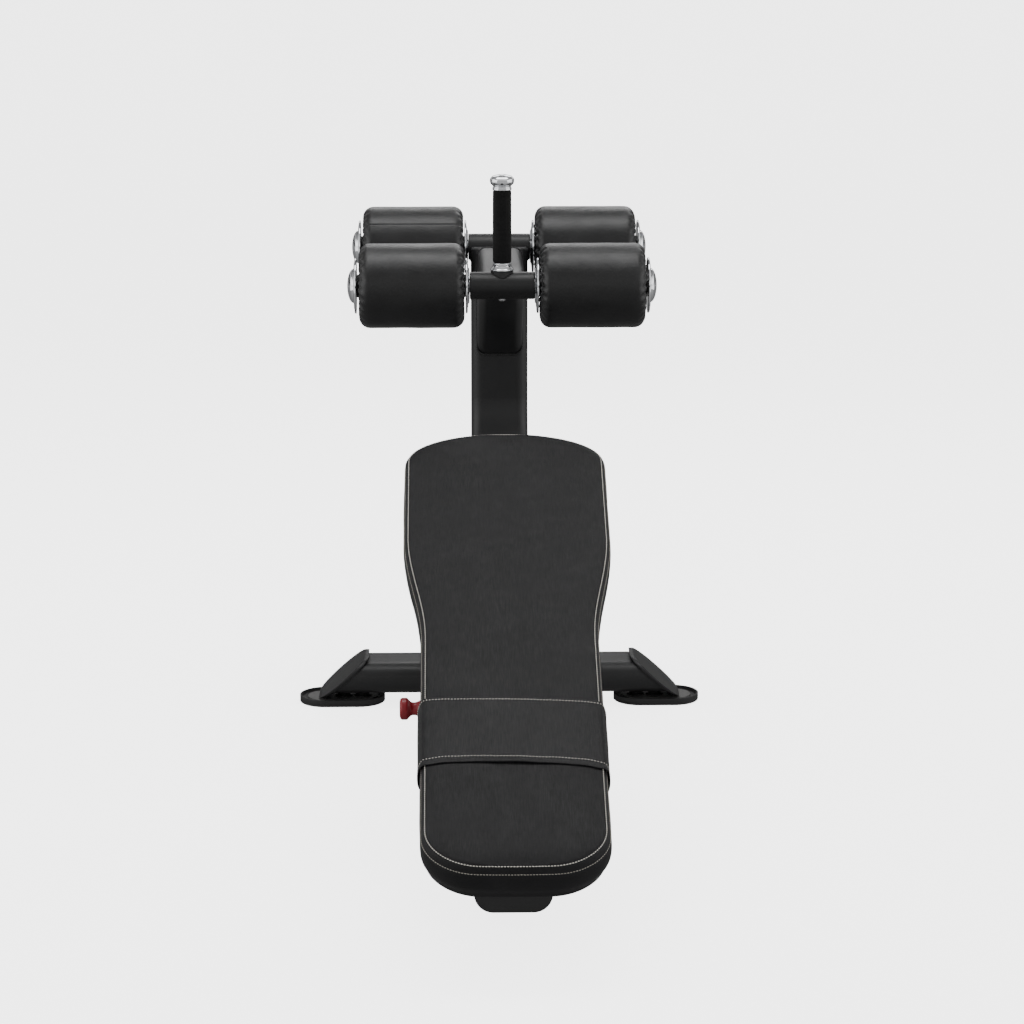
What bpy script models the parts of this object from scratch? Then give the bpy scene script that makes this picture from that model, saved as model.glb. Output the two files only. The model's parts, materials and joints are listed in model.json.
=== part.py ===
"""Decline sit-up bench: a padded board that tilts on a floor frame, with four leg rollers on a column.

Units are metres. +Z is up, +X is the right-hand side of someone lying on it, and +Y runs from the head end
to the rollers.
The origin is the middle of the bounding box's bottom face, so the bench stands on z = 0.
"""

import math

import bmesh
import bpy
from mathutils import Matrix, Vector

GAP = 0.0003  # between two pieces that touch
ROUND = 24  # sides of a large round piece

# Overall
FOOT_HALF_WIDTH = 0.3795

# Floor frame, flat-oval tube
OVAL_WIDTH = 0.120
OVAL_HEIGHT = 0.060
OVAL_WALL = 0.003
OVAL_Z = 0.0545
CROSS_Y = 0.703
CROSS_TOP_HALF = 0.255
END_SLOPE = 1.12  # run over rise of the cross tube's cut ends
END_PLATE_THICK = 0.006
END_PLATE_RIM = 0.005
BEAM_FRONT_Y = -0.547
FRONT_CAP_THICK = 0.004
FRONT_FOOT = (0.090, 0.075)
FRONT_FOOT_Y = -0.425

# Rubber foot trays under the cross tube
TRAY_LENGTH = 0.162
TRAY_DEPTH = 0.098
TRAY_HEIGHT = 0.014
TRAY_FLOOR = 0.006
TRAY_RIM = 0.008
FOOT_PLATE_INSET = 0.014
FOOT_PLATE_TOP = 0.014
FOOT_BLOCK_X = 0.274

# Column and the arm that carries the near rollers
COLUMN_Y = 0.694
COLUMN_SIZE = (0.104, 0.106)
COLUMN_CORNER = 0.020
COLUMN_WALL = 0.004
COLUMN_TOP = 0.874
COLUMN_PLUG = 0.036
ARM_WIDTH = 0.082
ARM_CORNER = 0.016
ARM_WALL = 0.005

# Leg rollers: (y, z) of each bar's axis
FAR_BAR = (0.694, 0.870)
NEAR_BAR = (0.383, 0.844)
BAR_RADIUS = 0.024
BAR_BORE = 0.0125
BAR_HALF = 0.0565
AXLE_RADIUS = 0.012
AXLE_HALF = 0.2610
AXLE_HEAD_RADIUS = 0.017
AXLE_HEAD_HALF = 0.2660
ROLLER_RADIUS = 0.074
ROLLER_END_RADIUS = 0.018
ROLLER_INNER = 0.0640
ROLLER_OUTER = 0.2540
CORE_RADIUS = 0.020
RUNNING_CLEARANCE = 0.0006
FLANGE_RADIUS = 0.0485
FLANGE_THICK = 0.0045
DOME_RADIUS = 0.030
DOME_TIP = 0.2710

# Handle on the near bar
GRIP_RADIUS = 0.0162
GRIP_BOTTOM = 0.885
GRIP_TOP = 1.011
HANDLE_TOP = 1.039
POST_RADIUS = 0.010

# Seat support and the tilt hinge
SUPPORT_TOP = 0.475
SUPPORT_BOTTOM = 0.400
SUPPORT_FRONT_Y = 0.240
SUPPORT_FILLET = 0.130
LUG_INNER = 0.0413
LUG_THICK = 0.010
LUG_RADIUS = 0.030
HINGE_RADIUS = 0.0125
BARREL_RADIUS = 0.022
BUSH_RADIUS = 0.016

# Pad, in its own frame: u runs down the slope from the far top edge, n is normal to the top
PAD_FAR_Y = 0.1844
PAD_FAR_Z = 0.620
PAD_SLOPE = math.radians(25.0)
PAD_LENGTH = 1.058
PAD_THICK = 0.052
PAD_HIP = 0.170
PAD_HEAD = 0.141
HIP_END = 0.275
HEAD_START = 0.540
FAR_CORNER = (0.095, 0.075)
NEAR_CORNER = (0.075, 0.070)
BOARD_THICK = 0.015
BOARD_INSET = 0.010
CARRIER_WIDTH = 0.080
CARRIER_HEIGHT = 0.040
CARRIER_WALL = 0.003
CARRIER_SPAN = (0.050, 0.930)
CROSS_PLATE_THICK = 0.006
CROSS_PLATE_AT = (0.235, 0.880)
CROSS_PLATE_SIZE = (0.200, 0.060)
SLEEVE_SPAN = (0.684, 0.830)
SLEEVE_THICK = 0.0015
HINGE_U = 0.150

# Selector: a sector with holes that turns with the pad, and a sprung pin in two cheeks
SELECTOR_RADIUS = 0.374
SELECTOR_REST = math.radians(29.1)
SELECTOR_HOLES = 7
SELECTOR_STEP = math.radians(20.0) / (SELECTOR_HOLES - 1)
SECTOR_HALF_WIDTH = 0.024
SECTOR_THICK = 0.010
CHEEK_INNER = 0.0063
CHEEK_THICK = 0.008
CHEEK_BASE = (0.056, 0.120, 0.008)
PIN_RADIUS = 0.0065
PIN_CLEARANCE = 0.0005
PIN_TIP = 0.0135
BARREL_END = -0.120
PIN_BARREL_RADIUS = 0.015
SPRING_TURNS = 6
SPRING_WIRE = 0.0011


def clear_scene():
    for obj in list(bpy.data.objects):
        bpy.data.objects.remove(obj, do_unlink=True)


def material(name, colour, roughness, metallic=0.0):
    made = bpy.data.materials.new(name)
    made.use_nodes = True
    shader = made.node_tree.nodes["Principled BSDF"]
    shader.inputs["Base Color"].default_value = (*colour, 1.0)
    shader.inputs["Roughness"].default_value = roughness
    shader.inputs["Metallic"].default_value = metallic
    return made


def add_object(name, bm, look, parent=None):
    """Turns a bmesh in world coordinates into an object, with its origin on its parent's."""
    bmesh.ops.recalc_face_normals(bm, faces=bm.faces)
    if parent:
        bm.transform(Matrix.Translation(-parent.location))
    mesh = bpy.data.meshes.new(name)
    bm.to_mesh(mesh)
    bm.free()
    mesh.shade_smooth()
    mesh.set_sharp_from_angle(angle=math.radians(35))
    obj = bpy.data.objects.new(name, mesh)
    obj.data.materials.append(LOOKS[look])
    obj.parent = parent
    bpy.context.collection.objects.link(obj)
    return obj


def add_axis(name, place):
    empty = bpy.data.objects.new(name, None)
    empty.location = place
    bpy.context.collection.objects.link(empty)
    return empty


def cut(obj, cutter_bm, name):
    """Subtracts a bmesh from an object with an exact Boolean."""
    bmesh.ops.recalc_face_normals(cutter_bm, faces=cutter_bm.faces)
    if obj.parent:
        cutter_bm.transform(Matrix.Translation(-obj.parent.location))
    mesh = bpy.data.meshes.new(name)
    cutter_bm.to_mesh(mesh)
    cutter_bm.free()
    cutter = bpy.data.objects.new(name, mesh)
    cutter.hide_render = True
    cutter.display_type = "WIRE"
    cutter.parent = obj.parent
    bpy.context.collection.objects.link(cutter)
    modifier = obj.modifiers.new("cut_" + name, "BOOLEAN")
    modifier.operation = "DIFFERENCE"
    modifier.solver = "EXACT"
    modifier.object = cutter


def skin(rings, closed_ends=True, loop=False):
    """A closed surface through rings of points, capped at both ends or joined end to end."""
    bm = bmesh.new()
    verts = [[bm.verts.new(point) for point in ring] for ring in rings]
    count = len(rings[0])
    pairs = list(zip(verts, verts[1:]))
    if loop:
        pairs.append((verts[-1], verts[0]))
    for first, second in pairs:
        for i in range(count):
            j = (i + 1) % count
            bm.faces.new((first[i], first[j], second[j], second[i]))
    if closed_ends and not loop:
        bm.faces.new(reversed(verts[0]))
        bm.faces.new(verts[-1])
    return bm


def pipe(outer, inner):
    """A tube through outer rings, open at both ends, with its bore through the inner rings."""
    return skin(list(outer) + list(reversed(inner)), loop=True)


def arc(centre, radius, start, end, steps):
    """Points on an arc, angles in radians."""
    turn = (end - start) / steps
    return [
        (centre[0] + radius * math.cos(start + turn * k), centre[1] + radius * math.sin(start + turn * k))
        for k in range(steps + 1)
    ]


def rounded_rectangle(width, height, radius, steps=5):
    points = []
    for k, (sx, sy) in enumerate(((1, 1), (-1, 1), (-1, -1), (1, -1))):
        centre = (sx * (width / 2 - radius), sy * (height / 2 - radius))
        start = k * math.pi / 2
        points += arc(centre, radius, start, start + math.pi / 2, steps)
    return points


def stadium(width, height, steps=6):
    """A flat oval whose ends are full half circles."""
    radius = height / 2
    reach = width / 2 - radius
    right = arc((reach, 0), radius, -math.pi / 2, math.pi / 2, steps)
    left = arc((-reach, 0), radius, math.pi / 2, math.pi * 3 / 2, steps)
    return right + left


def circle(radius, steps):
    return [
        (radius * math.cos(2 * math.pi * k / steps), radius * math.sin(2 * math.pi * k / steps))
        for k in range(steps)
    ]


def hexagon(flat, steps=24):
    """A hexagon with its flats at this distance, as points at equal angles."""
    points = []
    for k in range(steps):
        angle = 2 * math.pi * k / steps
        off = (angle + math.pi / 6) % (math.pi / 3) - math.pi / 6
        points.append((flat / math.cos(off) * math.cos(angle), flat / math.cos(off) * math.sin(angle)))
    return points


def along_x(points, x, y=0.0, z=0.0):
    return [Vector((x, y + a, z + b)) for a, b in points]


def along_y(points, y, x=0.0, z=0.0):
    return [Vector((x + a, y, z + b)) for a, b in points]


def along_z(points, z, x=0.0, y=0.0):
    return [Vector((x + a, y + b, z)) for a, b in points]


def turned(profile, place, axis, steps=28, bore=None):
    """A turned piece: the profile's (distance along, radius) pairs, spun about an axis through place."""
    axis = Vector(axis).normalized()
    side = axis.orthogonal().normalized()
    up = axis.cross(side)
    place = Vector(place)

    def ring(reach, radius):
        return [place + axis * reach + side * a + up * b for a, b in circle(radius, steps)]

    rings = [ring(reach, radius) for reach, radius in profile]
    if bore is None:
        return skin(rings)
    inner = [ring(profile[-1][0], bore), ring(profile[0][0], bore)]
    return skin(rings + inner, loop=True)


def box(x, y, z):
    """A plain block from (low, high) pairs."""
    corners = ((x[0], y[0]), (x[1], y[0]), (x[1], y[1]), (x[0], y[1]))
    return skin([[Vector((a, b, c)) for a, b in corners] for c in z])


def pad_point(x, u, n):
    """World place of a point in the pad's frame at rest."""
    y = PAD_FAR_Y - u * math.cos(PAD_SLOPE) - n * math.sin(PAD_SLOPE)
    z = PAD_FAR_Z - u * math.sin(PAD_SLOPE) + n * math.cos(PAD_SLOPE)
    return Vector((x, y, z))


def pad_profile():
    """The pad's half width along u, as (u, half width) from the far end to the near end."""
    steps = 6
    points = []
    for k in range(1, steps + 1):
        angle = math.pi / 2 * k / steps
        width = PAD_HIP - FAR_CORNER[0] + FAR_CORNER[0] * math.sin(angle)
        points.append((FAR_CORNER[1] * (1 - math.cos(angle)), width))
    waist_steps = 8
    for k in range(waist_steps + 1):
        t = k / waist_steps
        ease = (1 - math.cos(math.pi * t)) / 2
        points.append((HIP_END + (HEAD_START - HIP_END) * t, PAD_HIP + (PAD_HEAD - PAD_HIP) * ease))
    for k in range(steps):
        angle = math.pi / 2 * k / steps
        width = PAD_HEAD - NEAR_CORNER[0] + NEAR_CORNER[0] * math.cos(angle)
        points.append((PAD_LENGTH - NEAR_CORNER[1] * (1 - math.sin(angle)), width))
    return points


def pad_outline(inset=0.0):
    """The pad's closed outline as (x, u) points, moved inwards by inset."""
    scale_u = (PAD_LENGTH - 2 * inset) / PAD_LENGTH
    flat = PAD_HIP - FAR_CORNER[0]
    near = PAD_HEAD - NEAR_CORNER[0]
    side = [(flat, 0.0)] + [(w, u) for u, w in pad_profile()] + [(near, PAD_LENGTH)]
    moved = [((w - inset), inset + u * scale_u) for w, u in side]
    return moved + [(-w, u) for w, u in reversed(moved)]


def make_looks():
    return {
        "powder_coat": material("powder_coat", (0.018, 0.018, 0.019), 0.42, 0.3),
        "chrome": material("chrome", (0.78, 0.79, 0.80), 0.12, 1.0),
        "steel": material("steel", (0.50, 0.50, 0.51), 0.35, 1.0),
        "leather": material("leather", (0.022, 0.022, 0.024), 0.55),
        "rubber": material("rubber", (0.012, 0.012, 0.012), 0.75),
        "grip_foam": material("grip_foam", (0.016, 0.016, 0.016), 0.85),
        "plywood": material("plywood", (0.35, 0.24, 0.13), 0.7),
        "plastic": material("plastic", (0.02, 0.02, 0.02), 0.4),
        "red_plastic": material("red_plastic", (0.30, 0.008, 0.020), 0.35),
        "bronze": material("bronze", (0.45, 0.30, 0.14), 0.35, 1.0),
    }


def cross_tube_ring(points, half_top, side):
    """A ring of the cross tube on its slanted end plane."""

    def reach(b):
        return half_top + (OVAL_HEIGHT / 2 - b) * END_SLOPE

    return [Vector((side * reach(b), CROSS_Y + a, OVAL_Z + b)) for a, b in points]


def make_floor_frame():
    oval = stadium(OVAL_WIDTH, OVAL_HEIGHT)
    bore = stadium(OVAL_WIDTH - 2 * OVAL_WALL, OVAL_HEIGHT - 2 * OVAL_WALL)
    outer = [cross_tube_ring(oval, CROSS_TOP_HALF, side) for side in (-1, 1)]
    inner = [cross_tube_ring(bore, CROSS_TOP_HALF, side) for side in (-1, 1)]
    add_object("rear_cross_tube", pipe(outer, inner), "powder_coat")

    beam_back = CROSS_Y - OVAL_WIDTH / 2 - GAP
    ends = (BEAM_FRONT_Y, beam_back)
    outer = [along_y(oval, y, z=OVAL_Z) for y in ends]
    inner = [along_y(bore, y, z=OVAL_Z) for y in ends]
    add_object("main_beam", pipe(outer, inner), "powder_coat")

    cap_back = BEAM_FRONT_Y - GAP
    rounded = stadium(OVAL_WIDTH - 0.006, OVAL_HEIGHT - 0.006)
    rings = [(oval, cap_back), (oval, cap_back - FRONT_CAP_THICK / 2), (rounded, cap_back - FRONT_CAP_THICK)]
    add_object("main_beam_front_cap", skin([along_y(r, y, z=OVAL_Z) for r, y in rings]), "plastic")

    outline = rounded_rectangle(*FRONT_FOOT, 0.012, 4)
    top = OVAL_Z - OVAL_HEIGHT / 2 - GAP
    foot = skin([along_z(outline, z, y=FRONT_FOOT_Y) for z in (0.0, top)])
    add_object("front_foot", foot, "rubber")


def make_rear_foot(side, label):
    """One end of the cross tube: slanted end plate, steel foot plate, rubber tray."""
    shift = GAP * 2
    outline = stadium(OVAL_WIDTH + 2 * END_PLATE_RIM, OVAL_HEIGHT + 2 * END_PLATE_RIM)
    rings = [
        cross_tube_ring(outline, CROSS_TOP_HALF + shift, side),
        cross_tube_ring(outline, CROSS_TOP_HALF + shift + END_PLATE_THICK * 1.5, side),
    ]
    add_object("rear_end_plate_" + label, skin(rings), "powder_coat")

    centre = side * (FOOT_HALF_WIDTH - TRAY_LENGTH / 2)
    outer = stadium(TRAY_LENGTH, TRAY_DEPTH)
    lip = stadium(TRAY_LENGTH - 0.004, TRAY_DEPTH - 0.004)
    inner = stadium(TRAY_LENGTH - 2 * TRAY_RIM, TRAY_DEPTH - 2 * TRAY_RIM)
    shoulder = TRAY_HEIGHT - 0.003
    levels = ((outer, 0.0), (outer, shoulder), (lip, TRAY_HEIGHT), (inner, TRAY_HEIGHT), (inner, TRAY_FLOOR))
    tray = skin([along_z(ring, z, x=centre, y=CROSS_Y) for ring, z in levels])
    add_object("foot_tray_" + label, tray, "rubber")

    base = stadium(TRAY_LENGTH - 2 * FOOT_PLATE_INSET, TRAY_DEPTH - 2 * FOOT_PLATE_INSET)
    block = stadium(0.066, 0.040)
    near_block = side * FOOT_BLOCK_X - centre
    top = OVAL_Z - OVAL_HEIGHT / 2 - GAP
    rings = [along_z(base, z, x=centre, y=CROSS_Y) for z in (TRAY_FLOOR + GAP, FOOT_PLATE_TOP)]
    rings += [along_z(block, z, x=centre + near_block, y=CROSS_Y) for z in (FOOT_PLATE_TOP, top)]
    add_object("foot_plate_" + label, skin(rings), "powder_coat")


def make_column():
    outline = rounded_rectangle(*COLUMN_SIZE, COLUMN_CORNER)
    wall = 2 * COLUMN_WALL
    bore = rounded_rectangle(COLUMN_SIZE[0] - wall, COLUMN_SIZE[1] - wall, COLUMN_CORNER - COLUMN_WALL)
    bottom = OVAL_Z + OVAL_HEIGHT / 2 + GAP
    levels = [(outline, COLUMN_TOP), (outline, bottom), (bore, bottom), (bore, COLUMN_TOP - COLUMN_PLUG)]
    column = skin([along_z(ring, z, y=COLUMN_Y) for ring, z in levels])
    obj = add_object("column", column, "powder_coat")
    groove = turned(((-0.08, BAR_RADIUS + GAP), (0.08, BAR_RADIUS + GAP)), (0, *FAR_BAR), (1, 0, 0), 32)
    cut(obj, groove, "column_bar_groove")


def arm_station(t):
    """(y, top z, bottom z) of the arm, from the near bar (t = 0) to the column (t = 1)."""
    front = NEAR_BAR[0] + BAR_RADIUS + GAP
    back = COLUMN_Y - COLUMN_SIZE[1] / 2 - GAP
    y = front + (back - front) * t
    top = 0.863 + 0.012 * math.sin(t * math.pi / 2)
    bottom = 0.818 - 0.138 * t**1.5
    return y, top, bottom


def make_arm():
    steps = 7
    outer, inner = [], []
    for k in range(steps + 1):
        y, top, bottom = arm_station(k / steps)
        ring = rounded_rectangle(ARM_WIDTH, top - bottom, ARM_CORNER, 3)
        outer.append(along_y(ring, y, z=(top + bottom) / 2))
    for k in range(1, steps + 1):
        y, top, bottom = arm_station(k / steps)
        size = (ARM_WIDTH - 2 * ARM_WALL, top - bottom - 2 * ARM_WALL)
        ring = rounded_rectangle(*size, ARM_CORNER - ARM_WALL, 3)
        inner.append(along_y(ring, y, z=(top + bottom) / 2))
    add_object("roller_arm", skin(outer + list(reversed(inner))), "powder_coat")


def make_bar(name, place):
    bar = turned(((-BAR_HALF, BAR_RADIUS), (BAR_HALF, BAR_RADIUS)), (0, *place), (1, 0, 0), 32, BAR_BORE)
    obj = add_object(name + "_bar", bar, "powder_coat")
    profile = (
        (-AXLE_HEAD_HALF, AXLE_HEAD_RADIUS - 0.002),
        (-AXLE_HEAD_HALF + 0.001, AXLE_HEAD_RADIUS),
        (-AXLE_HALF, AXLE_HEAD_RADIUS),
        (-AXLE_HALF, AXLE_RADIUS),
        (AXLE_HALF, AXLE_RADIUS),
        (AXLE_HALF, AXLE_HEAD_RADIUS),
        (AXLE_HEAD_HALF - 0.001, AXLE_HEAD_RADIUS),
        (AXLE_HEAD_HALF, AXLE_HEAD_RADIUS - 0.002),
    )
    add_object(name + "_axle", turned(profile, (0, *place), (1, 0, 0), 20), "steel")
    return obj


def make_roller(row, place, side, label):
    """One leg roller: foam pad, core sleeve, inner flange and domed outer cap, all on one spin axis."""
    name = f"{row}_roller_{label}"
    spin = add_axis(name + "_axis", (0, *place))
    axis = (side, 0, 0)
    bore = AXLE_RADIUS + RUNNING_CLEARANCE
    centre = (0, *place)

    steps = 3
    turns = [math.pi / 2 * k / steps for k in range(steps + 1)]
    round_off = [(ROLLER_END_RADIUS * (1 - math.sin(a)), ROLLER_END_RADIUS * (1 - math.cos(a))) for a in turns]
    start = [(ROLLER_INNER + d, ROLLER_RADIUS - drop) for d, drop in reversed(round_off)]
    end = [(ROLLER_OUTER - d, ROLLER_RADIUS - drop) for d, drop in round_off]
    add_object(name + "_pad", turned(start + end, centre, axis, ROUND, CORE_RADIUS + GAP), "leather", spin)

    core = ((ROLLER_INNER, CORE_RADIUS), (ROLLER_OUTER, CORE_RADIUS))
    add_object(name + "_core", turned(core, centre, axis, 18, bore), "plastic", spin)

    inner_face = ROLLER_INNER - GAP
    flange = (
        (BAR_HALF + 0.0006, BAR_RADIUS + 0.008),
        (inner_face - FLANGE_THICK, BAR_RADIUS + 0.008),
        (inner_face - FLANGE_THICK, FLANGE_RADIUS - 0.002),
        (inner_face - FLANGE_THICK / 2, FLANGE_RADIUS),
        (inner_face, FLANGE_RADIUS),
    )
    add_object(name + "_inner_flange", turned(flange, centre, axis, ROUND, bore), "chrome", spin)

    base = ROLLER_OUTER + GAP
    rise = DOME_TIP - base - FLANGE_THICK
    dome = [
        (base + FLANGE_THICK + rise * math.sin(a), DOME_RADIUS * math.cos(a))
        for a in (math.radians(d) for d in (0, 28, 54, 78))
    ]
    face = base + FLANGE_THICK
    rim = [(base, FLANGE_RADIUS), (face - FLANGE_THICK / 2, FLANGE_RADIUS), (face, FLANGE_RADIUS - 0.002)]
    head = AXLE_HEAD_RADIUS + 0.003
    hollow = [(base, head), (DOME_TIP - 0.0042, head - 0.001), (DOME_TIP - 0.003, 0.010)]
    profile = list(reversed(rim + dome)) + hollow
    add_object(name + "_outer_cap", turned(profile, centre, axis, ROUND), "chrome", spin)


def make_handle(near_bar):
    y, z = NEAR_BAR
    seat = z + BAR_RADIUS
    bore = POST_RADIUS + GAP
    saddle = turned(((-0.006, 0.0185), (0.0010, 0.0185), (0.0025, 0.0170)), (0, y, seat), (0, 0, 1), 20, bore)
    obj = add_object("handle_saddle", saddle, "powder_coat")
    groove = turned([(reach, BAR_RADIUS + GAP) for reach in (-0.03, 0.03)], (0, y, z), (1, 0, 0), 32)
    cut(obj, groove, "saddle_groove")

    low = seat + 0.0028
    collar = (
        (low, 0.0200),
        (low + 0.003, 0.0200),
        (low + 0.009, 0.0165),
        (low + 0.012, 0.0155),
        (GRIP_BOTTOM - GAP, 0.0150),
    )
    add_object("handle_collar", turned(collar, (0, y, 0), (0, 0, 1), 20, POST_RADIUS + GAP), "chrome")

    under = z - BAR_RADIUS
    bolt = (
        (under - 0.0050, 0.0070),
        (under - 0.0040, 0.0080),
        (under - GAP * 4, 0.0080),
        (under - GAP * 4, 0.0040),
        (z - AXLE_RADIUS - 0.006, 0.0040),
    )
    add_object("handle_bolt", turned(bolt, (0, y, 0), (0, 0, 1), 16), "steel")
    cut(near_bar, turned(((under - 0.01, 0.0045), (z, 0.0045)), (0, y, 0), (0, 0, 1), 16), "bolt_hole")

    stem = ((seat + 0.0003, POST_RADIUS), (GRIP_TOP + 0.006, POST_RADIUS))
    add_object("handle_post", turned(stem, (0, y, 0), (0, 0, 1), 20), "steel")
    grip = (
        (GRIP_BOTTOM, GRIP_RADIUS - 0.0015),
        (GRIP_BOTTOM + 0.0015, GRIP_RADIUS),
        (GRIP_TOP - 0.0015, GRIP_RADIUS),
        (GRIP_TOP, GRIP_RADIUS - 0.0015),
    )
    add_object("handle_grip", turned(grip, (0, y, 0), (0, 0, 1), 20, POST_RADIUS + GAP), "grip_foam")
    cap = [
        (GRIP_TOP + GAP, 0.0165),
        (GRIP_TOP + 0.008, 0.0165),
        (GRIP_TOP + 0.010, 0.0190),
        (GRIP_TOP + 0.014, 0.0215),
        (GRIP_TOP + 0.019, 0.0215),
        (HANDLE_TOP - 0.004, 0.0180),
        (HANDLE_TOP - 0.001, 0.0110),
        (HANDLE_TOP, 0.0040),
    ]
    inside = [(GRIP_TOP + 0.008, POST_RADIUS + GAP), (GRIP_TOP + GAP, POST_RADIUS + GAP)]
    shell = list(reversed(cap)) + list(reversed(inside))
    add_object("handle_cap", turned(shell, (0, y, 0), (0, 0, 1), 20), "chrome")


def hinge_place():
    depth = PAD_THICK + BOARD_THICK + CROSS_PLATE_THICK + CARRIER_HEIGHT + 4 * GAP + BARREL_RADIUS
    return pad_point(0, HINGE_U, -depth)


def make_support(hinge):
    """The seat support sweeps out of the column's front face and ends in two hinge lugs."""
    back = COLUMN_Y - COLUMN_SIZE[1] / 2 - GAP
    straight = [SUPPORT_FRONT_Y, 0.38, back - SUPPORT_FILLET]
    fillet_steps = 7
    turns = [math.pi / 2 * k / fillet_steps for k in range(1, fillet_steps + 1)]
    sweep = [back - SUPPORT_FILLET * (1 - math.sin(a)) for a in turns]
    outer, inner = [], []
    for y in straight + sweep:
        into = max(0.0, min(1.0, 1 - (back - y) / SUPPORT_FILLET))
        top = SUPPORT_TOP + SUPPORT_FILLET * (1 - math.sqrt(1 - into * into))
        size = (COLUMN_SIZE[0], top - SUPPORT_BOTTOM)
        middle = (top + SUPPORT_BOTTOM) / 2
        outer.append(along_y(rounded_rectangle(*size, COLUMN_CORNER), y, z=middle))
        thin = (size[0] - 2 * COLUMN_WALL, size[1] - 2 * COLUMN_WALL)
        inner.append(along_y(rounded_rectangle(*thin, COLUMN_CORNER - COLUMN_WALL), y, z=middle))
    add_object("seat_support", skin(outer + list(reversed(inner[1:]))), "powder_coat")

    front = SUPPORT_FRONT_Y - GAP
    rounded = arc((hinge.y, hinge.z), LUG_RADIUS, math.radians(95), math.radians(280), 12)
    outline = [(front, SUPPORT_TOP - 0.004)] + rounded + [(front, SUPPORT_BOTTOM + 0.004)]
    for side, label in ((-1, "left"), (1, "right")):
        faces = (side * LUG_INNER, side * (LUG_INNER + LUG_THICK))
        rings = [[Vector((x, y, z)) for y, z in outline] for x in faces]
        lug = add_object("hinge_lug_" + label, skin(rings), "powder_coat")
        hole = HINGE_RADIUS + GAP
        reach = (side * (LUG_INNER - 0.01), side * (LUG_INNER + LUG_THICK + 0.01))
        bore = turned(((reach[0], hole), (reach[1], hole)), (0, hinge.y, hinge.z), (1, 0, 0), 24)
        cut(lug, bore, "lug_bore_" + label)

    outside = LUG_INNER + LUG_THICK + GAP
    pin = (
        (-outside - 0.009, 0.0150),
        (-outside - 0.007, 0.0180),
        (-outside, 0.0180),
        (-outside, HINGE_RADIUS),
        (outside + 0.010, HINGE_RADIUS),
        (outside + 0.012, HINGE_RADIUS - 0.002),
    )
    add_object("hinge_pin", turned(pin, hinge, (1, 0, 0), 24), "steel")
    nut_faces = (outside, outside + 0.009)
    outer = [along_x(hexagon(0.0175), x, hinge.y, hinge.z) for x in nut_faces]
    inner = [along_x(circle(HINGE_RADIUS + GAP, 24), x, hinge.y, hinge.z) for x in nut_faces]
    add_object("hinge_nut", pipe(outer, inner), "steel")


def make_bench(tilt):
    """Everything that tilts with the pad."""
    cushion_bottom = -PAD_THICK
    crown = [(0.018, 0.0), (0.009, -0.0025), (0.003, -0.009)]
    levels = crown + [(0.0, -0.018), (0.0, -0.034), (0.004, cushion_bottom)]
    rings = [[pad_point(x, u, n) for x, u in pad_outline(inset)] for inset, n in levels]
    add_object("pad_cushion", skin(rings), "leather", tilt)

    board_top = cushion_bottom - GAP
    outline = pad_outline(BOARD_INSET)
    board = skin([[pad_point(x, u, n) for x, u in outline] for n in (board_top, board_top - BOARD_THICK)])
    add_object("pad_board", board, "plywood", tilt)

    make_sleeve(tilt, board_top - BOARD_THICK)

    plate_top = board_top - BOARD_THICK - GAP
    for at, label in zip(CROSS_PLATE_AT, ("far", "near")):
        outline = rounded_rectangle(*CROSS_PLATE_SIZE, 0.012, 4)
        levels = (plate_top, plate_top - CROSS_PLATE_THICK)
        rings = [[pad_point(x, at + u, n) for x, u in outline] for n in levels]
        add_object("pad_mount_plate_" + label, skin(rings), "powder_coat", tilt)

    tube_top = plate_top - CROSS_PLATE_THICK - GAP
    middle = tube_top - CARRIER_HEIGHT / 2
    wall = 2 * CARRIER_WALL
    section = rounded_rectangle(CARRIER_WIDTH, CARRIER_HEIGHT, 0.008, 3)
    bore = rounded_rectangle(CARRIER_WIDTH - wall, CARRIER_HEIGHT - wall, 0.005, 3)
    outer = [[pad_point(x, u, middle + n) for x, n in section] for u in CARRIER_SPAN]
    inner = [[pad_point(x, u, middle + n) for x, n in bore] for u in CARRIER_SPAN]
    add_object("carrier_tube", pipe(outer, inner), "powder_coat", tilt)

    end = CARRIER_SPAN[1]
    spots = ((end + GAP, 1.0), (end + 0.003, 1.0), (end + 0.005, 0.94))
    rings = [[pad_point(x * scale, u, middle + n * scale) for x, n in section] for u, scale in spots]
    add_object("carrier_cap", skin(rings), "plastic", tilt)

    hinge = hinge_place()
    half = LUG_INNER - 0.0010
    barrel = ((-half, BARREL_RADIUS), (half, BARREL_RADIUS))
    add_object("hinge_barrel", turned(barrel, hinge, (1, 0, 0), 28, BUSH_RADIUS + GAP), "powder_coat", tilt)
    bush = ((-half, BUSH_RADIUS), (half, BUSH_RADIUS))
    add_object("hinge_bush", turned(bush, hinge, (1, 0, 0), 24, HINGE_RADIUS + GAP), "bronze", tilt)
    make_sector(tilt, hinge)


def sleeve_section(grow):
    """Half of the wear sleeve's section, from the crown round the side to its hem under the board."""
    side = PAD_HEAD + grow
    hem = -PAD_THICK - BOARD_THICK - 2 * GAP - grow
    corner = arc((side - 0.018, grow - 0.018 * 0.9), 0.018, math.pi / 2, 0.0, 4)
    return [(0.0, grow)] + [(x, n) for x, n in corner] + [(side, -0.045), (side, hem), (side - 0.045, hem)]


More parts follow.
